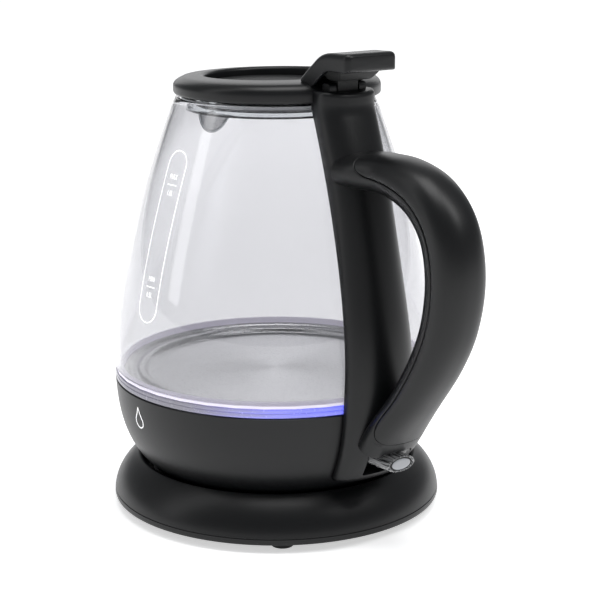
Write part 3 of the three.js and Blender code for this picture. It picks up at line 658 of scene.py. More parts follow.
def new_tree(name: str, sockets: Sequence[tuple[str, str, float]]) -> bpy.types.NodeTree:
    """A geometry tree with named inputs, each given as label, socket type and value."""
    tree = bpy.data.node_groups.new(name, "GeometryNodeTree")
    for label, kind, value in sockets:
        tree.interface.new_socket(label, in_out="INPUT", socket_type=kind).default_value = value
    tree.interface.new_socket("Geometry", in_out="OUTPUT", socket_type="NodeSocketGeometry")
    return tree


def close_tree(tree: bpy.types.NodeTree, geometry: bpy.types.NodeSocket,
               finish: Finish) -> bpy.types.NodeTree:
    """Ends a geometry tree: makes its instances real and gives them a finish."""
    real = add_node(tree, "GeometryNodeRealizeInstances", inputs={0: geometry})
    dressed = add_node(tree, "GeometryNodeSetMaterial", inputs={
        "Geometry": real.outputs[0], "Material": finish.material()})
    add_node(tree, "NodeGroupOutput", inputs={0: dressed.outputs[0]})
    return tree


def from_tree(name: str, tree: bpy.types.NodeTree, values: dict[str, float]) -> bpy.types.Object:
    """Runs a geometry tree once and keeps its result as plain mesh.

    Args:
        name: Object name.
        tree: The geometry tree.
        values: Input names with the values to set, by the sockets' identifiers.

    Returns:
        The object, with no modifier left.
    """
    obj = linked(name, bpy.data.meshes.new(name))
    modifier = obj.modifiers.new("made", "NODES")
    modifier.node_group = tree
    keys = {item.name: item.identifier for item in tree.interface.items_tree if item.in_out == "INPUT"}
    for label, value in values.items():
        modifier[keys[label]] = value
    bake_modifiers(obj)
    finish_mesh(obj.data)
    return obj


# ---- kettle body


@dataclass
class Profiles:
    """Shared outlines of the kettle, in millimetres."""

    bowl_top: Pair = (80.4, 65.4)
    bowl_shoulder: Pair = (79.4, 31.4)
    bowl_foot: Pair = (60.0, 19.8)
    glass_bend: Pair = (80.5, 80.0)
    glass_shoulder: Pair = (80.5, 121.1)
    glass_neck: Pair = (48.6, 204.3)
    glass_wall: float = 2.3
    skin: Shape = field(default_factory=list)

    def __post_init__(self) -> None:
        """Works out the outer skin from bowl to neck."""
        self.skin = self.bowl() + self.glass(0.0)

    def bowl(self, inset: float = 0.0) -> Shape:
        """The bowl's outline from its foot up."""
        ends = [self.bowl_foot, self.bowl_shoulder, self.bowl_top]
        return bend(*[(r - inset, z + (inset if z < self.bowl_top[1] else 0)) for r, z in ends], 24)

    def glass(self, inset: float) -> Shape:
        """The jug's outline from its bend up."""
        return bend(*[(r - inset, z) for r, z in (self.glass_bend, self.glass_shoulder, self.glass_neck)], 40)

    def radius(self, height: float) -> float:
        """Outer radius of bowl or glass at a height."""
        return radius_on(self.skin, height)


@dataclass
class PowerBase:
    """The round base that stays on the table."""

    radius: float = 82.2
    lip: float = 4.0
    shoulder: float = 16.4
    crest: Pair = (70.2, 25.2)
    well: Pair = (62.5, 17.0)
    seat: float = 22.0
    wall: float = 2.4
    seam_height: float = 7.2
    seam_depth: float = 0.45
    foot_radius: float = 5.5
    foot_height: float = 3.7
    foot_circle: float = 70.5
    foot_count: int = 5
    first_foot: float = -34.0

    def cover(self) -> bpy.types.Object:
        """The moulded cover, with its seam line above the lip."""
        outer = bend((self.radius, self.lip + 1), (self.radius, self.shoulder), self.crest, 28)
        low = [p for p in outer if p[1] < self.seam_height - 0.3]
        high = [p for p in outer if p[1] > self.seam_height + 0.3]
        groove = self.radius - self.seam_depth
        seam = [(self.radius - 0.05, self.seam_height - 0.28), (groove, self.seam_height - 0.12),
                (groove, self.seam_height + 0.12), (self.radius - 0.12, self.seam_height + 0.28)]
        inner_foot = (self.radius - self.wall, self.lip)
        under = self.well[1] - self.wall
        outline = [
            (self.radius - 0.9, self.lip), (self.radius - 0.25, self.lip + 0.3), *low, *seam, *high,
            *bend(self.crest, (self.crest[0] - 3, self.crest[1] + 0.2), self.well, 16)[1:],
            (self.seat + 0.6, self.well[1]), (self.seat, self.well[1] - 0.6), (self.seat, under),
            (self.well[0] + self.wall, under), (self.crest[0] - self.wall, self.crest[1] - self.wall),
            (self.crest[0], self.crest[1] - self.wall),
            (self.radius - self.wall - 1, self.shoulder - self.wall), inner_foot,
        ]
        cover = turned("base_cover_skin", outline)
        low_corner, high_corner = table_mm(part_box("cord_inlet_bush"))
        gap, inwards, past_rim = 0.3, 4, 95
        notch = block("notch", (low_corner[0] - gap, low_corner[1] - inwards, 0),
                      (high_corner[0] + gap, past_rim, high_corner[2] + gap))
        return carved(cover, [notch])

    def feet_tree(self) -> bpy.types.NodeTree:
        """Geometry tree that sets turned rubber pads round a circle."""
        tree = new_tree("rubber feet", (("Count", "NodeSocketInt", self.foot_count),
                                        ("Circle", "NodeSocketFloat", self.foot_circle * MM),
                                        ("First angle", "NodeSocketFloat", math.radians(self.first_foot)),
                                        ("Pad radius", "NodeSocketFloat", self.foot_radius * MM),
                                        ("Pad height", "NodeSocketFloat", self.foot_height * MM)))
        given = tree.nodes.new("NodeGroupInput").outputs
        pad = add_node(tree, "GeometryNodeMeshCylinder", inputs={
            "Vertices": 40, "Side Segments": 1, "Fill Segments": 3, "Radius": given["Pad radius"],
            "Depth": given["Pad height"]})
        ring = add_node(tree, "GeometryNodeMeshCircle", inputs={
            "Vertices": given["Count"], "Radius": given["Circle"]})
        turn = add_node(tree, "ShaderNodeCombineXYZ", inputs={2: given["First angle"]})
        turned_ring = add_node(tree, "GeometryNodeTransform", inputs={
            "Geometry": ring.outputs["Mesh"], "Rotation": turn.outputs[0]})
        spread = add_node(tree, "GeometryNodeInstanceOnPoints", inputs={
            "Points": turned_ring.outputs[0], "Instance": pad.outputs["Mesh"]})
        half = add_node(tree, "ShaderNodeMath", {"operation": "MULTIPLY_ADD"}, {
            0: given["Pad height"], 1: 0.5, 2: TABLE})
        rise = add_node(tree, "ShaderNodeCombineXYZ", inputs={2: half.outputs[0]})
        lifted = add_node(tree, "GeometryNodeTransform", inputs={
            "Geometry": spread.outputs["Instances"], "Translation": rise.outputs[0]})
        return close_tree(tree, lifted.outputs[0], RUBBER)

    def build(self) -> None:
        """Builds and dresses the base's visible pieces."""
        place(self.cover(), Body.BASE, SATIN_BLACK, "base_cover")
        feet = from_tree("rubber_feet", self.feet_tree(), {"Count": self.foot_count})
        softened(feet, 0.7, 3)
        place(feet, Body.BASE, RUBBER, *[f"foot_{i + 1}" for i in range(self.foot_count)])


@dataclass
class Bowl:
    """Lower housing, light ring and heater plate."""

    profiles: Profiles
    wall: float = 2.4
    rim_round: float = 0.5
    sheet: float = 1.1
    ridge: float = 70.0
    channel: float = 1.3

    def housing(self) -> bpy.types.Object:
        """The black bowl."""
        outer = self.profiles.bowl()
        top = self.profiles.bowl_top
        inner = [(r, z) for r, z in self.profiles.bowl(self.wall)][::-1]
        outline = [*outer[:-1], (top[0], top[1] - self.rim_round), (top[0] - self.rim_round, top[1]),
                   *inner, (self.profiles.bowl_foot[0] - 0.6, self.profiles.bowl_foot[1])]
        return turned("lower_housing_skin", outline)

    def ring(self) -> bpy.types.Object:
        """The light guide, with a shallow step in its face."""
        (_, _, bottom), (outer, _, top) = table_mm(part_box("light_ring"))
        inner, middle, step, half_step = outer - 4.1, mix(bottom, top, 0.56), 0.35, 0.25
        outline = rounded([
            (inner, bottom, 0.3), (outer, bottom, 0.5), (outer, middle - half_step, 0.2),
            (outer - step, middle, 0.2), (outer, middle + half_step, 0.2), (outer, top, 0.5),
            (inner, top, 0.3)])
        return turned("light_ring_skin", outline)

    def heater(self) -> bpy.types.Object:
        """The pressed steel plate with its raised rim channel."""
        (_, _, bottom), (rim, _, top) = table_mm(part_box("heater_plate"))
        thick, ridge = self.sheet, self.ridge
        dish, channel = bottom + thick, ridge - self.channel
        outline = rounded([
            (0, dish, 0), (64.0, dish, 1.2), (66.2, ridge, 1.2), (68.2, ridge + 0.1, 1.0),
            (70.2, channel, 1.2), (72.6, channel, 1.2), (74.4, top - 0.1, 0.8), (rim, top, 0.3),
            (rim, top - thick, 0.3), (75.0, top - thick, 0.5), (73.2, channel - thick, 0.8),
            (69.6, channel - thick, 0.8), (68.0, ridge - thick, 0.8), (66.8, ridge - thick, 0.8),
            (64.6, dish - thick, 0.6), (0, dish - thick, 0)], closed=False)
        return turned("heater_plate_skin", outline)

    def build(self) -> None:
        """Builds and dresses the pieces."""
        place(self.housing(), Body.KETTLE, SATIN_BLACK, "lower_housing")
        place(self.ring(), Body.KETTLE, LIGHT_GUIDE, "light_ring")
        place(self.heater(), Body.KETTLE, STEEL_DISH, "heater_plate")


@dataclass
class Jug:
    """The glass jug with its pouring beak."""

    profiles: Profiles
    beak_reach: float = 8.0
    beak_start: float = 178.0
    beak_half: float = 24.0

    def push(self, angle: float, radius: float, height: float) -> float:
        """How far the beak pushes the wall outwards."""
        top = self.profiles.glass_neck[1]
        rise = min(max((height - self.beak_start) / (top - self.beak_start), 0.0), 1.0)
        turn = min(abs(math.remainder(angle - math.pi, 2 * math.pi)) / math.radians(self.beak_half), 1.0)
        return self.beak_reach * rise ** 2 * math.cos(turn * math.pi / 2) ** 2

    def glass(self) -> bpy.types.Object:
        """The jug, closed round its rim and foot."""
        wall = self.profiles.glass_wall
        foot = table_mm(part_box("glass_jug"))[0][2]
        outer = self.profiles.glass(0.0)
        inner = self.profiles.glass(wall)[::-1]
        radius = self.profiles.glass_bend[0]
        (r0, z0), (r1, z1) = outer[-1], inner[0]
        rim = [((r0 + r1) / 2 + math.cos(a) * wall / 2, z0 - 1.0 + math.sin(a) * 1.0)
               for a in (math.pi * k / 8 for k in range(9))]
        start = rounded([(radius - wall, 76.0, 0), (radius - wall, foot, 0.7), (radius, foot, 0.7),
                         (radius, 76.0, 0)], closed=False)
        outline = [*start, *outer[:-1], *rim, *inner[1:]]
        return turned("glass_jug_skin", outline, 224, self.push, 50.0)

    def build(self) -> None:
        """Builds and dresses the jug."""
        place(self.glass(), Body.KETTLE, JUG_GLASS, "glass_jug")


# ---- spine and handle


@dataclass
class Spine:
    """The tapered black spine behind the glass, from the lid's hinge to the base."""

    profiles: Profiles
    clearance: float = 0.6
    depth: float = 14.0
    foot_depth: float = 7.0
    top_width: float = 28.8
    foot_width: float = 39.8
    bottom: float = 31.0
    top: float = 212.4
    edge: float = 2.4
    saddle: float = 1.3
    waist: float = 3.0
    ear: Triple = (5.6, 3.6, 215.4)

    def half_width(self, height: float) -> float:
        """Half the width at a height."""
        return mix(self.foot_width, self.top_width, smooth(height, self.bottom, self.top)) / 2

    def inner(self, height: float) -> float:
        """Radius of the face against the glass."""
        return self.profiles.radius(height) + self.clearance

    def reach(self, height: float) -> float:
        """Depth behind the inner face."""
        slim = self.waist * smooth(height, 60, 90) * (1 - smooth(height, 110, 190))
        return mix(self.foot_depth, self.depth, smooth(height, self.bottom, 90.0)) - slim

    def section(self, height: float, inset: float = 0.0) -> list[Triple]:
        """One ring of the spine: a flat-backed oval, drawn in by an inset near its ends."""
        inner, depth, half = self.inner(height), self.reach(height) - inset, self.half_width(height) - inset
        steps = 40
        square = mix(1.0, 0.68, max(smooth(height, 120, 205), 1 - smooth(height, 40, 70)))
        ring = []
        for k in range(steps + 1):
            a = math.pi * k / steps
            u = math.copysign(abs(math.cos(a)) ** square, math.cos(a))
            v = math.sin(a) ** square
            ring.append((u, v))
        ring.extend((mix(-1.0, 1.0, k / 8), 0.0) for k in range(1, 8))
        points = []
        for u, v in ring:
            radius = inner + inset * 0.4 + v * depth
            angle = -u * half / inner
            points.append((radius * math.cos(angle), radius * math.sin(angle), height))
        return points

    def rings(self) -> list[list[Triple]]:
        """All rings, bottom to top, with rounded ends and a saddle in the top."""
        rings = [self.section(self.bottom + self.edge * (1 - math.cos(a)), self.edge * (1 - math.sin(a)))
                 for a in (math.pi / 2 * k / 6 for k in range(7))]
        low, high = self.bottom + self.edge, self.top - self.edge
        rings += [self.section(mix(low, high, k / 56)) for k in range(1, 56)]
        rings += [self.section(high + self.edge * math.sin(a), self.edge * (1 - math.cos(a)))
                  for a in (math.pi / 2 * k / 6 for k in range(7))]
        sagged = []
        for ring in rings:
            half = self.half_width(ring[0][2])
            fade = smooth(ring[0][2], self.top - 14, self.top)
            sagged.append([(x, y, z - self.saddle * fade * max(1 - (y / half) ** 2, 0.0)) for x, y,
                           z in ring])
        return sagged

    def build(self) -> bpy.types.Object:
        """The spine's skin, before its slot is cut."""
        return lofted("spine_skin", self.rings(), 45.0)

    def ears(self) -> bpy.types.Object:
        """Two rounded ears on the spine's top that hold the lid's hinge pin."""
        low, high = table_mm(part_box("lid_hinge_pin"))
        middle, (width, thick, tall) = (low[0] + high[0]) / 2, self.ear
        ears = []
        for side, name in ((-1, "ear_a"), (1, "ear_b")):
            outer = side * high[1]
            outline = rounded([(middle - width / 2, self.top - 5, 0), (middle + width / 2, self.top - 5, 0),
                               (middle + width / 2, tall, 2.2), (middle - width / 2, tall, 2.2)])
            rings = [[(x, y, z) for x, z in outline] for y in (outer + side * 0.3, outer - side * thick)]
            ears.append(lofted(name, rings))
        return merged("hinge_ears", ears)


@dataclass
class Handle:
    """The C-shaped handle: an inner shell that flares onto the spine, and a grip cover over its back."""

    width: float = 26.6
    thickness: float = 23.8
    top_flare: float = 34.5
    low_flare: float = 33.0
    slim_top: float = 17.0
    slim_low: float = 15.8
    route: tuple[Pair, ...] = ((66, 176.5), (82, 177.5), (99, 176.2), (115.5, 169.8), (127.3, 156.6),
                               (131.7, 137),
                               (128.9, 116), (121.2, 98), (109.2, 79.5), (95.8, 61.8), (87.8, 50.5))
    samples: int = 96
    cover_start: float = 0.06
    cover_end: float = 0.95
    cover_angle: float = 94.0
    cover_corner: float = 26.0
    seam: float = 0.42
    rebate: float = 1.3
    end_round: float = 0.003

    def __post_init__(self) -> None:
        """Works out the smooth centre line once."""
        self.line = self.spline()

    def spline(self) -> list[tuple[Vector, Vector]]:
        """Points of the centre line with their directions, evenly spaced."""
        knots = [Vector((x, z)) for x, z in self.route]
        dense = []
        for i in range(len(knots) - 1):
            p0, p1 = knots[max(i - 1, 0)], knots[i]
            p2, p3 = knots[i + 1], knots[min(i + 2, len(knots) - 1)]
            for k in range(24):
                t = k / 24
                dense.append(0.5 * ((2 * p1) + (p2 - p0) * t + (2 * p0 - 5 * p1 + 4 * p2 - p3) * t * t
                                    + (3 * p1 - p0 - 3 * p2 + p3) * t ** 3))
        dense.append(knots[-1])
        lengths = [0.0]
        for a, b in zip(dense, dense[1:]):
            lengths.append(lengths[-1] + (b - a).length)
        line = []
        for k in range(self.samples + 1):
            target = lengths[-1] * k / self.samples
            i = min(next((n for n, v in enumerate(lengths) if v >= target), len(dense) - 1), len(dense) - 1)
            i = max(i, 1)
            span = max(lengths[i] - lengths[i - 1], 1e-9)
            point = dense[i - 1].lerp(dense[i], (target - lengths[i - 1]) / span)
            line.append(point)
        return [(p, (line[min(k + 2, self.samples)] - line[max(k - 2, 0)]).normalized())
                for k, p in enumerate(line)]

    def point(self, t: float, angle: float, proud: float = 0.0, flared: bool = True) -> Triple:
        """A point of the handle's surface.

        Args:
            t: 0 at the top foot, 1 at the low end.
            angle: Round the section, 90 degrees on the outer back.
            proud: How far off the surface.
            flared: Whether the ends widen onto the spine.

        Returns:
            The point, in millimetres above the table.
        """
        place_at = t * self.samples
        k = min(int(place_at), self.samples - 1)
        middle = self.line[k][0].lerp(self.line[k + 1][0], place_at - k)
        along = self.line[k][1].lerp(self.line[k + 1][1], place_at - k).normalized()
        outward = Vector((-along.y, along.x))
        slim = max((1 - smooth(t, 0.03, 0.36)) * (self.thickness - self.slim_top),
                   smooth(t, 0.4, 0.98) * (self.thickness - self.slim_low))
        flare = 0.0
        if flared:
            flare = (1 - smooth(t, 0.03, 0.135)) * (self.top_flare - self.width)
            flare += smooth(t, 0.8, 0.97) * (self.low_flare - self.width)
        half_width = (self.width + flare) / 2 + proud
        half_thick = (self.thickness - slim) / 2 + proud
        u = math.copysign(abs(math.cos(angle)) ** 0.86, math.cos(angle))
        v = math.copysign(abs(math.sin(angle)) ** 0.86, math.sin(angle))
        return (middle.x + outward.x * v * half_thick, u * half_width, middle.y + outward.y * v * half_thick)

    def cover_spread(self, t: float) -> float:
        """Half the angle that the grip cover takes at a station; 0 past its ends."""
        if not self.cover_start < t < self.cover_end:
            return 0.0
        s = 2 * (t - self.cover_start) / (self.cover_end - self.cover_start) - 1
        return math.radians(self.cover_angle) * max(1 - abs(s) ** self.cover_corner, 0.0) ** 0.5

    def stations(self) -> list[float]:
        """Stations along the handle, closest together where the cover's ends curve round."""
        inner = [mix(self.cover_start, self.cover_end, (math.sin((2 * k / 150 - 1) * math.pi / 2) + 1) / 2)
                 for k in range(151)]
        before = [self.cover_start * k / 6 for k in range(6)]
        after = [mix(self.cover_end, 1.0, k / 6) for k in range(1, 7)]
        return before + inner + after

    def seam_angle(self) -> float:
        """The seam's width as an angle."""
        return self.seam / (self.width / 2)

    def inner_shell(self) -> bpy.types.Object:
        """The handle's inner half, with a rebate for the grip cover."""
        rings = []
        for t in self.stations():
            half = self.cover_spread(t)
            gap, lip = (self.seam_angle(), self.seam_angle() * 1.6) if half else (0.0, 0.0)
            drop = self.rebate if half else 0.0
            right = [(half * k / 10, -drop) for k in range(11)]
            right += [(half + gap * 0.9, -drop), (half + gap, -0.3 if half else 0.0),
                      (half + gap + lip * 0.4, -0.06),
                      (half + gap + lip, 0.0)]
            if not half:
                right[-2] = (0.0, 0.0)
            edge = half + gap + lip
            right += [(mix(edge, math.pi, k / 26), 0.0) for k in range(1, 26)]
            ring = [self.point(t, math.pi / 2 - a, proud) for a, proud in right]
            ring.append(self.point(t, -math.pi / 2))
            ring += [self.point(t, math.pi / 2 + a, proud) for a, proud in right[:0:-1]]
            rings.append(ring)
        return lofted("handle_inner_skin", rings, 50.0)

    def grip(self) -> bpy.types.Object:
        """The cover over the handle's back, its border rounded down into the seam."""
        columns = [-1.0, -0.998, -0.985, -0.96, *[mix(-0.92, 0.92, k / 32) for k in range(33)], 0.96, 0.985,
                   0.998,
                   1.0]
        rows = [t for t in self.stations() if self.cover_start < t < self.cover_end]
        wide, base = len(columns), len(columns) * len(rows)

        def at(t: float, side: float, drop: float) -> Triple:
            """A point of the cover: drop is how far under its skin."""
            ends = min(t - self.cover_start, self.cover_end - t) / self.end_round
            edge = max((abs(side) - 0.96) / 0.04, 1 - ends, 0.0)
            sink = 0.45 * (1 - math.sqrt(max(1 - min(edge, 1.0) ** 2, 0.0)))
            return self.point(t, math.pi / 2 + side * self.cover_spread(t), -sink - drop)

        verts = [at(t, side, 0.0) for t in rows for side in columns]
        verts += [at(t, side, self.rebate * 0.8) for t in rows for side in columns]
        faces = []
        for k in range(len(rows) - 1):
            for i in range(wide - 1):
                a = k * wide + i
                faces += [(a, a + 1, a + 1 + wide, a + wide),
                          (base + a, base + a + wide, base + a + 1 + wide, base + a + 1)]
            for i in (0, wide - 1):
                a = k * wide + i
                faces.append((a, a + wide, base + a + wide, base + a))
        for k in (0, len(rows) - 1):
            for i in range(wide - 1):
                a = k * wide + i
                faces.append((a, a + 1, base + a + 1, base + a))
        return new_object("grip_cover_skin", verts, faces, 50.0)


@dataclass
class SwitchGear:
    """The clear rocker lever and the slot that it comes out of."""

    width: float = 16.6
    thickness: float = 7.8
    root: float = 80.2
    tip: float = 98.0
    height: float = 43.1
    slot_low: float = 34.2
    slot_high: float = 48.6
    slot_half: float = 9.2
    slot_run: Pair = (74.0, 120.0)
    ribs: int = 9
    rib_height: float = 0.16
    rib_end: float = 0.9

    def slot(self, name: str) -> bpy.types.Object:
        """A rounded cutter for the slot."""
        outline = rounded([(-self.slot_half, self.slot_low, 1.5), (self.slot_half, self.slot_low, 1.5),
                           (self.slot_half, self.slot_high, 2.0), (-self.slot_half, self.slot_high, 2.0)])
        rings = [[(x, y, z) for y, z in outline] for x in self.slot_run]
        return lofted(name, rings)

    def lever(self) -> bpy.types.Object:
        """The clear oval lever, ribbed along its back, with a lens set in its end."""
        around = 144
        rings = []
        stations = [(0.0, 0.86), (0.03, 1.0), (0.55, 1.0), (0.9, 1.0), (0.96, 0.985), (0.985, 0.95),
                    (1.0, 0.9),
                    (0.999, 0.84), (0.97, 0.78), (0.955, 0.7), (0.952, 0.4)]
        for s, scale in stations:
            x = mix(self.root, self.tip, s)
            ring = []
            for i in range(around):
                a = 2 * math.pi * i / around
                rib = self.rib_height * math.cos(a * 2 * self.ribs) if 0.03 < s < self.rib_end else 0.0
                ring.append((x, math.cos(a) * (self.width / 2 * scale + rib),
                             self.height + math.sin(a) * (self.thickness / 2 * scale + rib)))
            rings.append(ring)
        return lofted("switch_lever_skin", rings, 30.0)

    def oval(self, name: str, stations: Sequence[Pair]) -> bpy.types.Object:
        """A closed oval piece on the lever's end, lofted through shares of its length and of its section."""
        turn = [2 * math.pi * i / 64 for i in range(64)]
        return lofted(name, [[(mix(self.root, self.tip, s), math.cos(a) * self.width / 2 * scale,
                               self.height + math.sin(a) * self.thickness / 2 * scale) for a in turn]
                             for s, scale in stations])

    def lens(self) -> bpy.types.Object:
        """The lens proper, slightly domed."""
        return self.oval("lever_lens",
                         [(0.945, 0.62), (0.985, 0.66), (0.996, 0.6), (1.0, 0.45), (1.003, 0.2)])

    def gasket(self) -> bpy.types.Object:
        """The dark ring that the lens sits in."""
        return self.oval("lever_gasket", [(0.956, 0.8), (0.974, 0.78), (0.976, 0.7)])


@dataclass
class BackAssembly:
    """Spine, handle and switch together."""

    profiles: Profiles

    def build(self) -> None:
        """Builds, cuts and dresses the pieces."""
        spine, handle, switch = Spine(self.profiles), Handle(), SwitchGear()
        skin = carved(spine.build(), [switch.slot("slot_a")], 45.0)
        shell = carved(handle.inner_shell(), [switch.slot("slot_b")], 60.0)
        place(skin, Body.KETTLE, SATIN_BLACK, "spine_cover")
        place(spine.ears(), Body.KETTLE, SATIN_BLACK)
        place(shell, Body.KETTLE, SATIN_BLACK, "handle_inner")
        place(handle.grip(), Body.KETTLE, SATIN_BLACK, "grip_cover")
        place(switch.lever(), Body.SWITCH, LEVER_CLEAR, "switch_lever")
        place(switch.lens(), Body.SWITCH, LENS_FROST)
        place(switch.gasket(), Body.SWITCH, MATT_BLACK)


# ---- lid


@dataclass
class Lid:
    """Ring, recess, clear plug and thumb tab."""

    radius: float = 50.2
    aside: float = 1.5
    bottom: float = 205.9
    top: float = 215.9
    recess: float = 34.5
    floor: float = 210.2
    plug: float = 43.5
    plug_bottom: float = 198.0
    tab_width: float = 29.4
    tab_thickness: float = 8.6
    tab_wall: float = 1.7
    tab_round: float = 2.8
    slope: float = 1.9
    dark_skirt: float = 200.2
    rib_count: int = 2
    rib_pitch: float = 2.4
    eye_radius: float = 2.8
    eye_width: float = 11.6
    bag_radius: float = 39.8
    bag_azimuth: float = 199.0
    bag_half: float = 20.5
    bag_bottom: float = 183.4
    bag_tuck: float = 1.6
    dish_middle: float = 62.0
    dish_half: float = 8.5
    dish_depth: float = 1.2
    dish_from: Pair = (50.0, 226.5)
    neck_rings: tuple[tuple[float, float, float, float], ...] = (
        (216.9, 53.4, 61.6, 8.8), (217.6, 52.8, 62.6, 9.8), (219.6, 52.2, 64.2, 11.4),
        (221.9, 52.0, 65.6, 12.8))
    wires: tuple[int, int] = (46, 42)
    wire_radius: float = 0.11
    tab_path: tuple[Pair, ...] = ((41.5, 213.9), (45.0, 217.0), (54.6, 224.6), (59.6, 225.9), (73.9, 225.9))

    def ring(self) -> bpy.types.Object:
        """The black ring, domed from its outer edge up to the rim of its recess."""
        hole = self.plug + 0.3
        outline = [
            (hole, self.bottom), (self.radius - 1.4, self.bottom),
            *bend((self.radius - 0.9, self.bottom + 0.1), (self.radius - 0.1, self.bottom + 0.2),
                  (self.radius, self.bottom + 1.4), 6),
            *bend((self.radius, self.bottom + 3.6), (self.radius, self.top - 0.9),
                  (self.radius - 8.0, self.top - 0.5), 16),
            *bend((self.recess + 3.2, self.top - 0.1), (self.recess, self.top + 0.1),
                  (self.recess, self.top - 1.8), 8),
            (self.recess, self.floor + 0.3), (hole, self.floor + 0.3)]
        ring = turned("lid_ring_skin", outline, 192)
        for vertex in ring.data.vertices:
            fall = (1 - vertex.co.x / MM / self.radius) / 2 * smooth((vertex.co.z - TABLE) / MM, 208.0,
                                                                     self.top - 1)
            vertex.co.z -= self.slope * fall * MM
            vertex.co.x += self.aside * smooth(math.hypot(vertex.co.x, vertex.co.y) / MM, self.plug + 0.5,
                                               47) * MM
        return ring

    def panel(self) -> bpy.types.Object:
        """The recess's floor, with the dark skirt that shows through the clear plug."""
        low = self.floor - 2.1
        outline = [(0, low), (self.plug - 3.9, low), (self.plug - 3.9, self.dark_skirt),
                   (self.plug - 2.3, self.dark_skirt), (self.plug - 2.3, low), (self.plug, low),
                   (self.plug, self.floor - 0.2), (self.recess + 0.6, self.floor - 0.2),
                   *bend((self.recess - 0.6, self.floor), (20, self.floor - 0.4), (0, self.floor - 0.5), 8)]
        return turned("lid_panel_skin", outline, 160)

    def skirt(self) -> bpy.types.Object:
        """The clear plug, ringed with ribs that catch the light."""
        r = self.plug
        outer = [(r - 1.1, self.plug_bottom - 0.1), (r - 0.2, self.plug_bottom), (r, self.plug_bottom + 0.9),
                 (r - 0.1, self.plug_bottom + 1.7), (r - 0.7, self.plug_bottom + 2.2)]
        for k in range(self.rib_count):
            z = self.plug_bottom + 3.0 + k * self.rib_pitch
            outer += [(r - 0.75, z), (r - 0.1, z + 0.35), (r - 0.05, z + 0.75), (r - 0.75, z + 1.15)]
        outline = [(r - 1.9, 207.6), (r - 1.9, self.plug_bottom + 0.5), (r - 1.6, self.plug_bottom), *outer,
                   (r - 0.6, 207.6)]
        return turned("lid_skirt_skin", outline, 192, sharp=50.0)

    def tab_ring(self, here: Vector, run: Vector, narrow: float, pocket: float) -> list[Triple]:
        """One section of the thumb tab: a rounded channel, open underneath.

        Args:
            here: Middle of the section, as radius and height.
            run: Direction of the slab there.
            narrow: 1 at full width, less where the end is rounded.
            pocket: 1 for the full hollow, 0 for a solid section.

        Returns:
            The ring of points.
        """
        up = Vector((-run.y, run.x))
        wide, thick = self.tab_width / 2, self.tab_thickness / 2
        inner, roof = wide - self.tab_wall, mix(-thick, thick - self.tab_wall, pocket)
        section = rounded([(wide, -thick, 0.8), (wide, thick, 3.0), (-wide, thick, 3.0), (-wide, -thick, 0.8),
                           (-inner, -thick, 0), (-inner, roof, 0), (inner, roof, 0), (inner, -thick, 0)],
                          steps=8)
        flat = 1 - 2.2 * (1 - narrow)
        return [(here.x + up.x * v * flat, u * narrow, here.y + up.y * v * flat) for u, v in section]

    def tab(self) -> bpy.types.Object:
        """The bent thumb tab: dished for the thumb and hollow underneath."""
        spots = [Vector(p) for p in rounded([(x, z, 3.4) for x, z in self.tab_path], closed=False, steps=8)]
        last, along = spots[-1], (spots[-1] - spots[-2]).normalized()
        stops = [(spots[0], 1.0, 0.0), (spots[0] + (spots[1] - spots[0]) * 0.02, 1.0, 1.0)]
        stops += [(spot, 1.0, 1.0) for spot in spots[1:-1]]
        stops += [(spots[-2].lerp(last - along * (self.tab_round + self.tab_wall), k / 8), 1.0, 1.0)
                  for k in range(1, 9)]
        stops.append((last - along * (self.tab_round + self.tab_wall - 0.02), 1.0, 0.0))
        stops += [(last - along * self.tab_round * (1 - math.sin(a)),
                   1 - self.tab_round * (1 - math.cos(a)) / (self.tab_width / 2), 0.0)
                  for a in (math.pi / 2 * k / 8 for k in range(9))]
        rings = []
        for k, (here, narrow, pocket) in enumerate(stops):
            before, after = stops[max(k - 2, 0)][0], stops[min(k + 2, len(stops) - 1)][0]
            rings.append(self.tab_ring(here, (after - before).normalized(), narrow, pocket))
        tab = lofted("thumb_tab_skin", rings, 50.0)
        for vertex in tab.data.vertices:
            x, y, z = vertex.co.x / MM, vertex.co.y / MM, (vertex.co.z - TABLE) / MM
            if x > self.dish_from[0] and z > self.dish_from[1]:
                dish = max(1 - ((x - self.dish_middle) / self.dish_half) ** 2, 0) * max(1 - (y / 14) ** 2,
                                                                                        0.12)
                vertex.co.z -= self.dish_depth * dish * MM
        return tab

    def eye(self) -> bpy.types.Object:
        """The block between the spine's ears that turns on the pin."""
        low, high = table_mm(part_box("lid_hinge_pin"))
        middle, axis = (low[0] + high[0]) / 2, (low[2] + high[2]) / 2
        r, half = self.eye_radius, self.eye_width / 2
        outline = rounded([(middle - r, axis - r, 1.6), (middle + r, axis - r, 1.6),
                           (middle + r, self.top + 5.6, 0.5),
                           (middle - r - 3, self.top + 2.2, 0.5), (middle - r - 3, self.top + 0.4, 0.3),
                           (middle - r, self.top + 0.4, 0.3)])
        return lofted("hinge_eye", [[(x, y, z) for x, z in outline] for y in (-half, half)])

    def neck(self) -> bpy.types.Object:
        """The web that fills the tab's hollow over the hinge, narrower at its foot."""
        rings = []
        for z, near, far, half in self.neck_rings:
            corners = ((near, -half, 1.2), (far, -half, 1.2), (far, half, 1.2), (near, half, 1.2))
            rings.append([(x, y, z) for x, y in rounded(corners)])
        return lofted("hinge_neck", rings)

    def bag_height(self, share: float) -> float:
        """Height of the filter bag's lower edge at a share of its half angle."""
        return mix(self.bag_bottom, self.plug_bottom - 1.0, 1 - math.sqrt(max(1 - share * share, 0.0)))

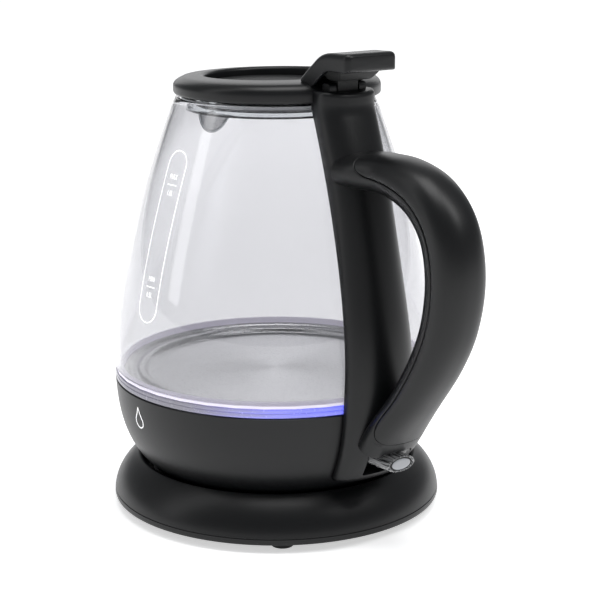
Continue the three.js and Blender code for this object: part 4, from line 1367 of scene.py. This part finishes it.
    def bag_point(self, share: float, fall: float) -> Vector:
        """A point of the filter's cloth; fall is 0 at its top and 1 at its lower edge."""
        top = self.floor - 3.4
        z = mix(top, self.bag_height(share), fall)
        tuck = self.bag_tuck * max(fall - 0.55, 0.0) ** 2 * (1 - 0.5 * share * share) / 0.2
        radius = self.bag_radius - tuck
        angle = math.radians(self.bag_azimuth + self.bag_half * share)
        return Vector((radius * math.cos(angle), radius * math.sin(angle), z))

    def cloth_lines(self) -> bpy.types.Object:
        """Edges only: the two directions of the filter cloth's wires."""
        across, down = self.wires
        verts, edges = [], []
        for k in range(down + 1):
            for i in range(across + 1):
                verts.append(self.bag_point(mix(-0.985, 0.985, i / across), k / down))
                here = len(verts) - 1
                if i:
                    edges.append((here - 1, here))
                if k:
                    edges.append((here - across - 1, here))
        mesh = bpy.data.meshes.new("cloth")
        mesh.from_pydata([(v.x * MM, v.y * MM, v.z * MM + TABLE) for v in verts], edges, [])
        return linked("cloth", mesh)

    def wire_tree(self, cloth: bpy.types.Object) -> bpy.types.NodeTree:
        """Geometry tree that lays round wire along every edge of the cloth."""
        tree = new_tree("woven wire cloth", (("Wire radius", "NodeSocketFloat", self.wire_radius * MM),))
        given = tree.nodes.new("NodeGroupInput").outputs
        lines = add_node(tree, "GeometryNodeObjectInfo", inputs={"Object": cloth})
        curves = add_node(tree, "GeometryNodeMeshToCurve", inputs={0: lines.outputs["Geometry"]})
        wire = add_node(tree, "GeometryNodeCurvePrimitiveCircle", inputs={
            "Resolution": 5, "Radius": given["Wire radius"]})
        swept = add_node(tree, "GeometryNodeCurveToMesh", inputs={
            "Curve": curves.outputs[0], "Profile Curve": wire.outputs["Curve"], "Fill Caps": True})
        return close_tree(tree, swept.outputs[0], STEEL_WIRE)

    def filter_frame(self) -> bpy.types.Object:
        """The moulded rim that holds the cloth."""
        shares = [math.sin(math.pi / 2 * (2 * k / 40 - 1)) for k in range(41)]
        border = [self.bag_point(-1, k / 6) for k in range(6)] + [self.bag_point(s, 1.0) for s in shares]
        border += [self.bag_point(1, 1 - k / 6) for k in range(1, 7)]
        border += [self.bag_point(mix(1, -1, k / 12), 0.0) for k in range(1, 12)]
        ups = [Vector((v.x, v.y, 0)).normalized() for v in border]
        return bar("filter_frame_skin", border, (0.7, 0.55), ups, Edge.LOOP, 8)

    def build(self) -> None:
        """Builds and dresses the pieces."""
        place(self.ring(), Body.LID, SATIN_BLACK, "lid_ring")
        place(self.panel(), Body.LID, MATT_BLACK, "lid_panel")
        place(self.skirt(), Body.LID, CLEAR_PLASTIC, "lid_skirt")
        place(self.tab(), Body.LID, SATIN_BLACK, "thumb_tab")
        place(merged("hinge_eye", [self.eye(), self.neck()]), Body.LID, MATT_BLACK)
        cloth = self.cloth_lines()
        woven = from_tree("filter_cloth", self.wire_tree(cloth), {"Wire radius": self.wire_radius * MM})
        bpy.data.objects.remove(cloth, do_unlink=True)
        place(woven, Body.LID, STEEL_WIRE, "filter_mesh")
        place(self.filter_frame(), Body.LID, CLEAR_PLASTIC, "filter_frame")


# ---- prints


@dataclass
class Prints:
    """What is printed on the glass and the bowl: the level gauge and a droplet."""

    profiles: Profiles
    azimuth: float = -87.5
    half_width: float = 6.85
    low: float = 103.4
    high: float = 182.6
    line: float = 0.5
    ink: float = 0.05
    marks: tuple[tuple[str, str, float], ...] = (("MAX", "1.8L", 167.0), ("MIN", "0.5L", 120.0))
    mark_length: float = 6.5
    letter: float = 3.4
    drop_azimuth: float = -92.0
    drop_height: float = 53.0
    drop_radius: float = 3.2

    def on_skin(self, azimuth: float, across: float, height: float, proud: float = 0.04) -> Vector:
        """The point of the outer skin a distance across from an azimuth, at a height."""
        radius = self.profiles.radius(height) + proud
        angle = math.radians(azimuth) + across / radius
        return Vector((radius * math.cos(angle), radius * math.sin(angle), height))

    def stroke(self, name: str, azimuth: float, path: Shape, ends: Edge) -> bpy.types.Object:
        """A printed line along points given across and up the skin."""
        spots = [self.on_skin(azimuth, u, z) for u, z in path]
        ups = [Vector((v.x, v.y, 0)).normalized() for v in spots]
        return bar(name, spots, (self.line / 2, self.ink), ups, ends)

    def stadium(self) -> Shape:
        """The gauge's outline, a long loop with round ends."""
        r, low, high = self.half_width, self.low + self.half_width, self.high - self.half_width
        up = [(r, mix(low, high, k / 40)) for k in range(41)]
        over = [(r * math.cos(a), high + r * math.sin(a)) for a in (math.pi * k / 24 for k in range(1, 24))]
        down = [(-r, mix(high, low, k / 40)) for k in range(41)]
        under = [(r * math.cos(a),
                  low + r * math.sin(a)) for a in (math.pi + math.pi * k / 24 for k in range(1, 24))]
        return up + over + down + under

    def word(self, text: str, height: float) -> bpy.types.Object:
        """Plain gauge lettering laid on the glass, centred at a height."""
        curve = bpy.data.curves.new(text, "FONT")
        curve.body, curve.size, curve.extrude = text, self.letter, self.ink
        curve.align_x, curve.align_y, curve.resolution_u = "CENTER", "CENTER", 3
        holder = linked(text, curve)
        graph = bpy.context.evaluated_depsgraph_get()
        mesh = bpy.data.meshes.new_from_object(holder.evaluated_get(graph))
        bpy.data.objects.remove(holder, do_unlink=True)
        for vertex in mesh.vertices:
            u, v, w = vertex.co
            spot = self.on_skin(self.azimuth, u * 0.78, height + v, 0.06 + w)
            vertex.co = (spot.x * MM, spot.y * MM, spot.z * MM + TABLE)
        return linked("word_" + text.replace(".", "_"), mesh)

    def droplet(self) -> bpy.types.Object:
        """An outlined drop of water."""
        r, tip = self.drop_radius, 2.3
        path = [(r * math.cos(a), self.drop_height + r * math.sin(a))
                for a in (math.radians(mix(150, 390, k / 40)) for k in range(41))]
        right, left = path[-1], path[0]
        top = (0.0, self.drop_height + r * tip)
        path += bend(right, (r * 0.35, self.drop_height + r * 1.3), top, 12)[1:]
        path += bend(top, (-r * 0.35, self.drop_height + r * 1.3), left, 12)[1:-1]
        return self.stroke("droplet_mark", self.drop_azimuth, path, Edge.LOOP)

    def build(self) -> None:
        """Builds and dresses the prints."""
        pieces = [self.stroke("outline", self.azimuth, self.stadium(), Edge.LOOP)]
        for name, litres, height in self.marks:
            half = self.mark_length / 2
            pieces.append(self.stroke("mark", self.azimuth,
                                      [(mix(-half, half, k / 8), height) for k in range(9)],
                                      Edge.OPEN))
            pieces += [self.word(name, height + 3.6), self.word(litres, height - 3.8)]
        place(merged("gauge_print", pieces), Body.KETTLE, PRINT_WHITE_PAINTED_GLOW)
        place(self.droplet(), Body.KETTLE, PRINT_WHITE_PAINTED_GLOW)


# ---- studio


@dataclass
class Studio:
    """Floor, lights and camera."""

    azimuth: float = 53.0
    pitch: float = 14.0
    distance: float = 806.2
    height: float = 302.8
    aside: float = 12.0
    lens: float = 99.82
    floor_half: float = 40.0
    surroundings: float = 0.3
    aim: Triple = (0.02, 0.0, 0.11)

    def camera(self) -> None:
        """A long lens, a little above the lid."""
        a, p = math.radians(self.azimuth), math.radians(self.pitch)
        back, right = Vector((math.sin(a), -math.cos(a), 0)), Vector((math.cos(a), math.sin(a), 0))
        data = bpy.data.cameras.new("camera")
        data.lens, data.sensor_width = self.lens, 36.0
        camera = linked("camera", data)
        camera.location = (back * self.distance + right * self.aside) * MM
        camera.location.z = self.height * MM + TABLE
        looking = -(back * math.cos(p)) - Vector((0, 0, math.sin(p)))
        camera.rotation_mode = "QUATERNION"
        camera.rotation_quaternion = looking.to_track_quat("-Z", "Y")
        bpy.context.scene.camera = camera

    def light(self, name: str, azimuth: float, elevation: float, distance: float, size: Pair,
              power: float) -> None:
        """A soft box aimed at the kettle's middle."""
        data = bpy.data.lights.new(name, "AREA")
        data.shape = "RECTANGLE"
        data.size, data.size_y, data.energy = size[0], size[1], power
        lamp = linked(name, data)
        a, e = math.radians(azimuth), math.radians(elevation)
        back = Vector((math.sin(a) * math.cos(e), -math.cos(a) * math.cos(e), math.sin(e)))
        lamp.location = Vector(self.aim) + back * distance
        lamp.rotation_mode = "QUATERNION"
        lamp.rotation_quaternion = (-back).to_track_quat("-Z", "Y")

    def floor(self) -> None:
        """A wide pale floor."""
        half = self.floor_half
        mesh = bpy.data.meshes.new("floor")
        mesh.from_pydata([(-half, -half, TABLE), (half, -half, TABLE), (half, half, TABLE),
                          (-half, half, TABLE)],
                         [], [(0, 1, 2, 3)])
        floor = linked("floor", mesh)
        floor.data.materials.append(FLOOR_PAPER.material())

    def world(self) -> None:
        """Even white surroundings."""
        world = bpy.data.worlds.new("surroundings")
        world.use_nodes = True
        shade = world.node_tree.nodes["Background"]
        shade.inputs["Color"].default_value = linear("#f4f6fa")
        shade.inputs["Strength"].default_value = self.surroundings
        bpy.context.scene.world = world
        bpy.context.scene.view_settings.view_transform = "Standard"

    def build(self) -> None:
        """Sets up the whole studio."""
        self.camera()
        self.floor()
        self.world()
        self.light("key_softbox", 118, 52, 1.2, (0.35, 0.7), 3.6)
        self.light("fill_softbox", -25, 36, 1.4, (0.28, 1.8), 3.2)
        self.light("back_softbox", 233, 20, 1.6, (1.8, 0.8), 5)
        self.light("top_softbox", 60, 84, 1.4, (0.8, 0.8), 9)


def main() -> None:
    """Builds the kettle in order."""
    logging.basicConfig(level=logging.INFO, format="%(name)s: %(message)s")
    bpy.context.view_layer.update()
    profiles = Profiles()
    dress_nodes()
    PowerBase().build()
    Bowl(profiles).build()
    Jug(profiles).build()
    BackAssembly(profiles).build()
    Lid().build()
    Prints(profiles).build()
    Studio().build()


if __name__ == "__main__":
    main()
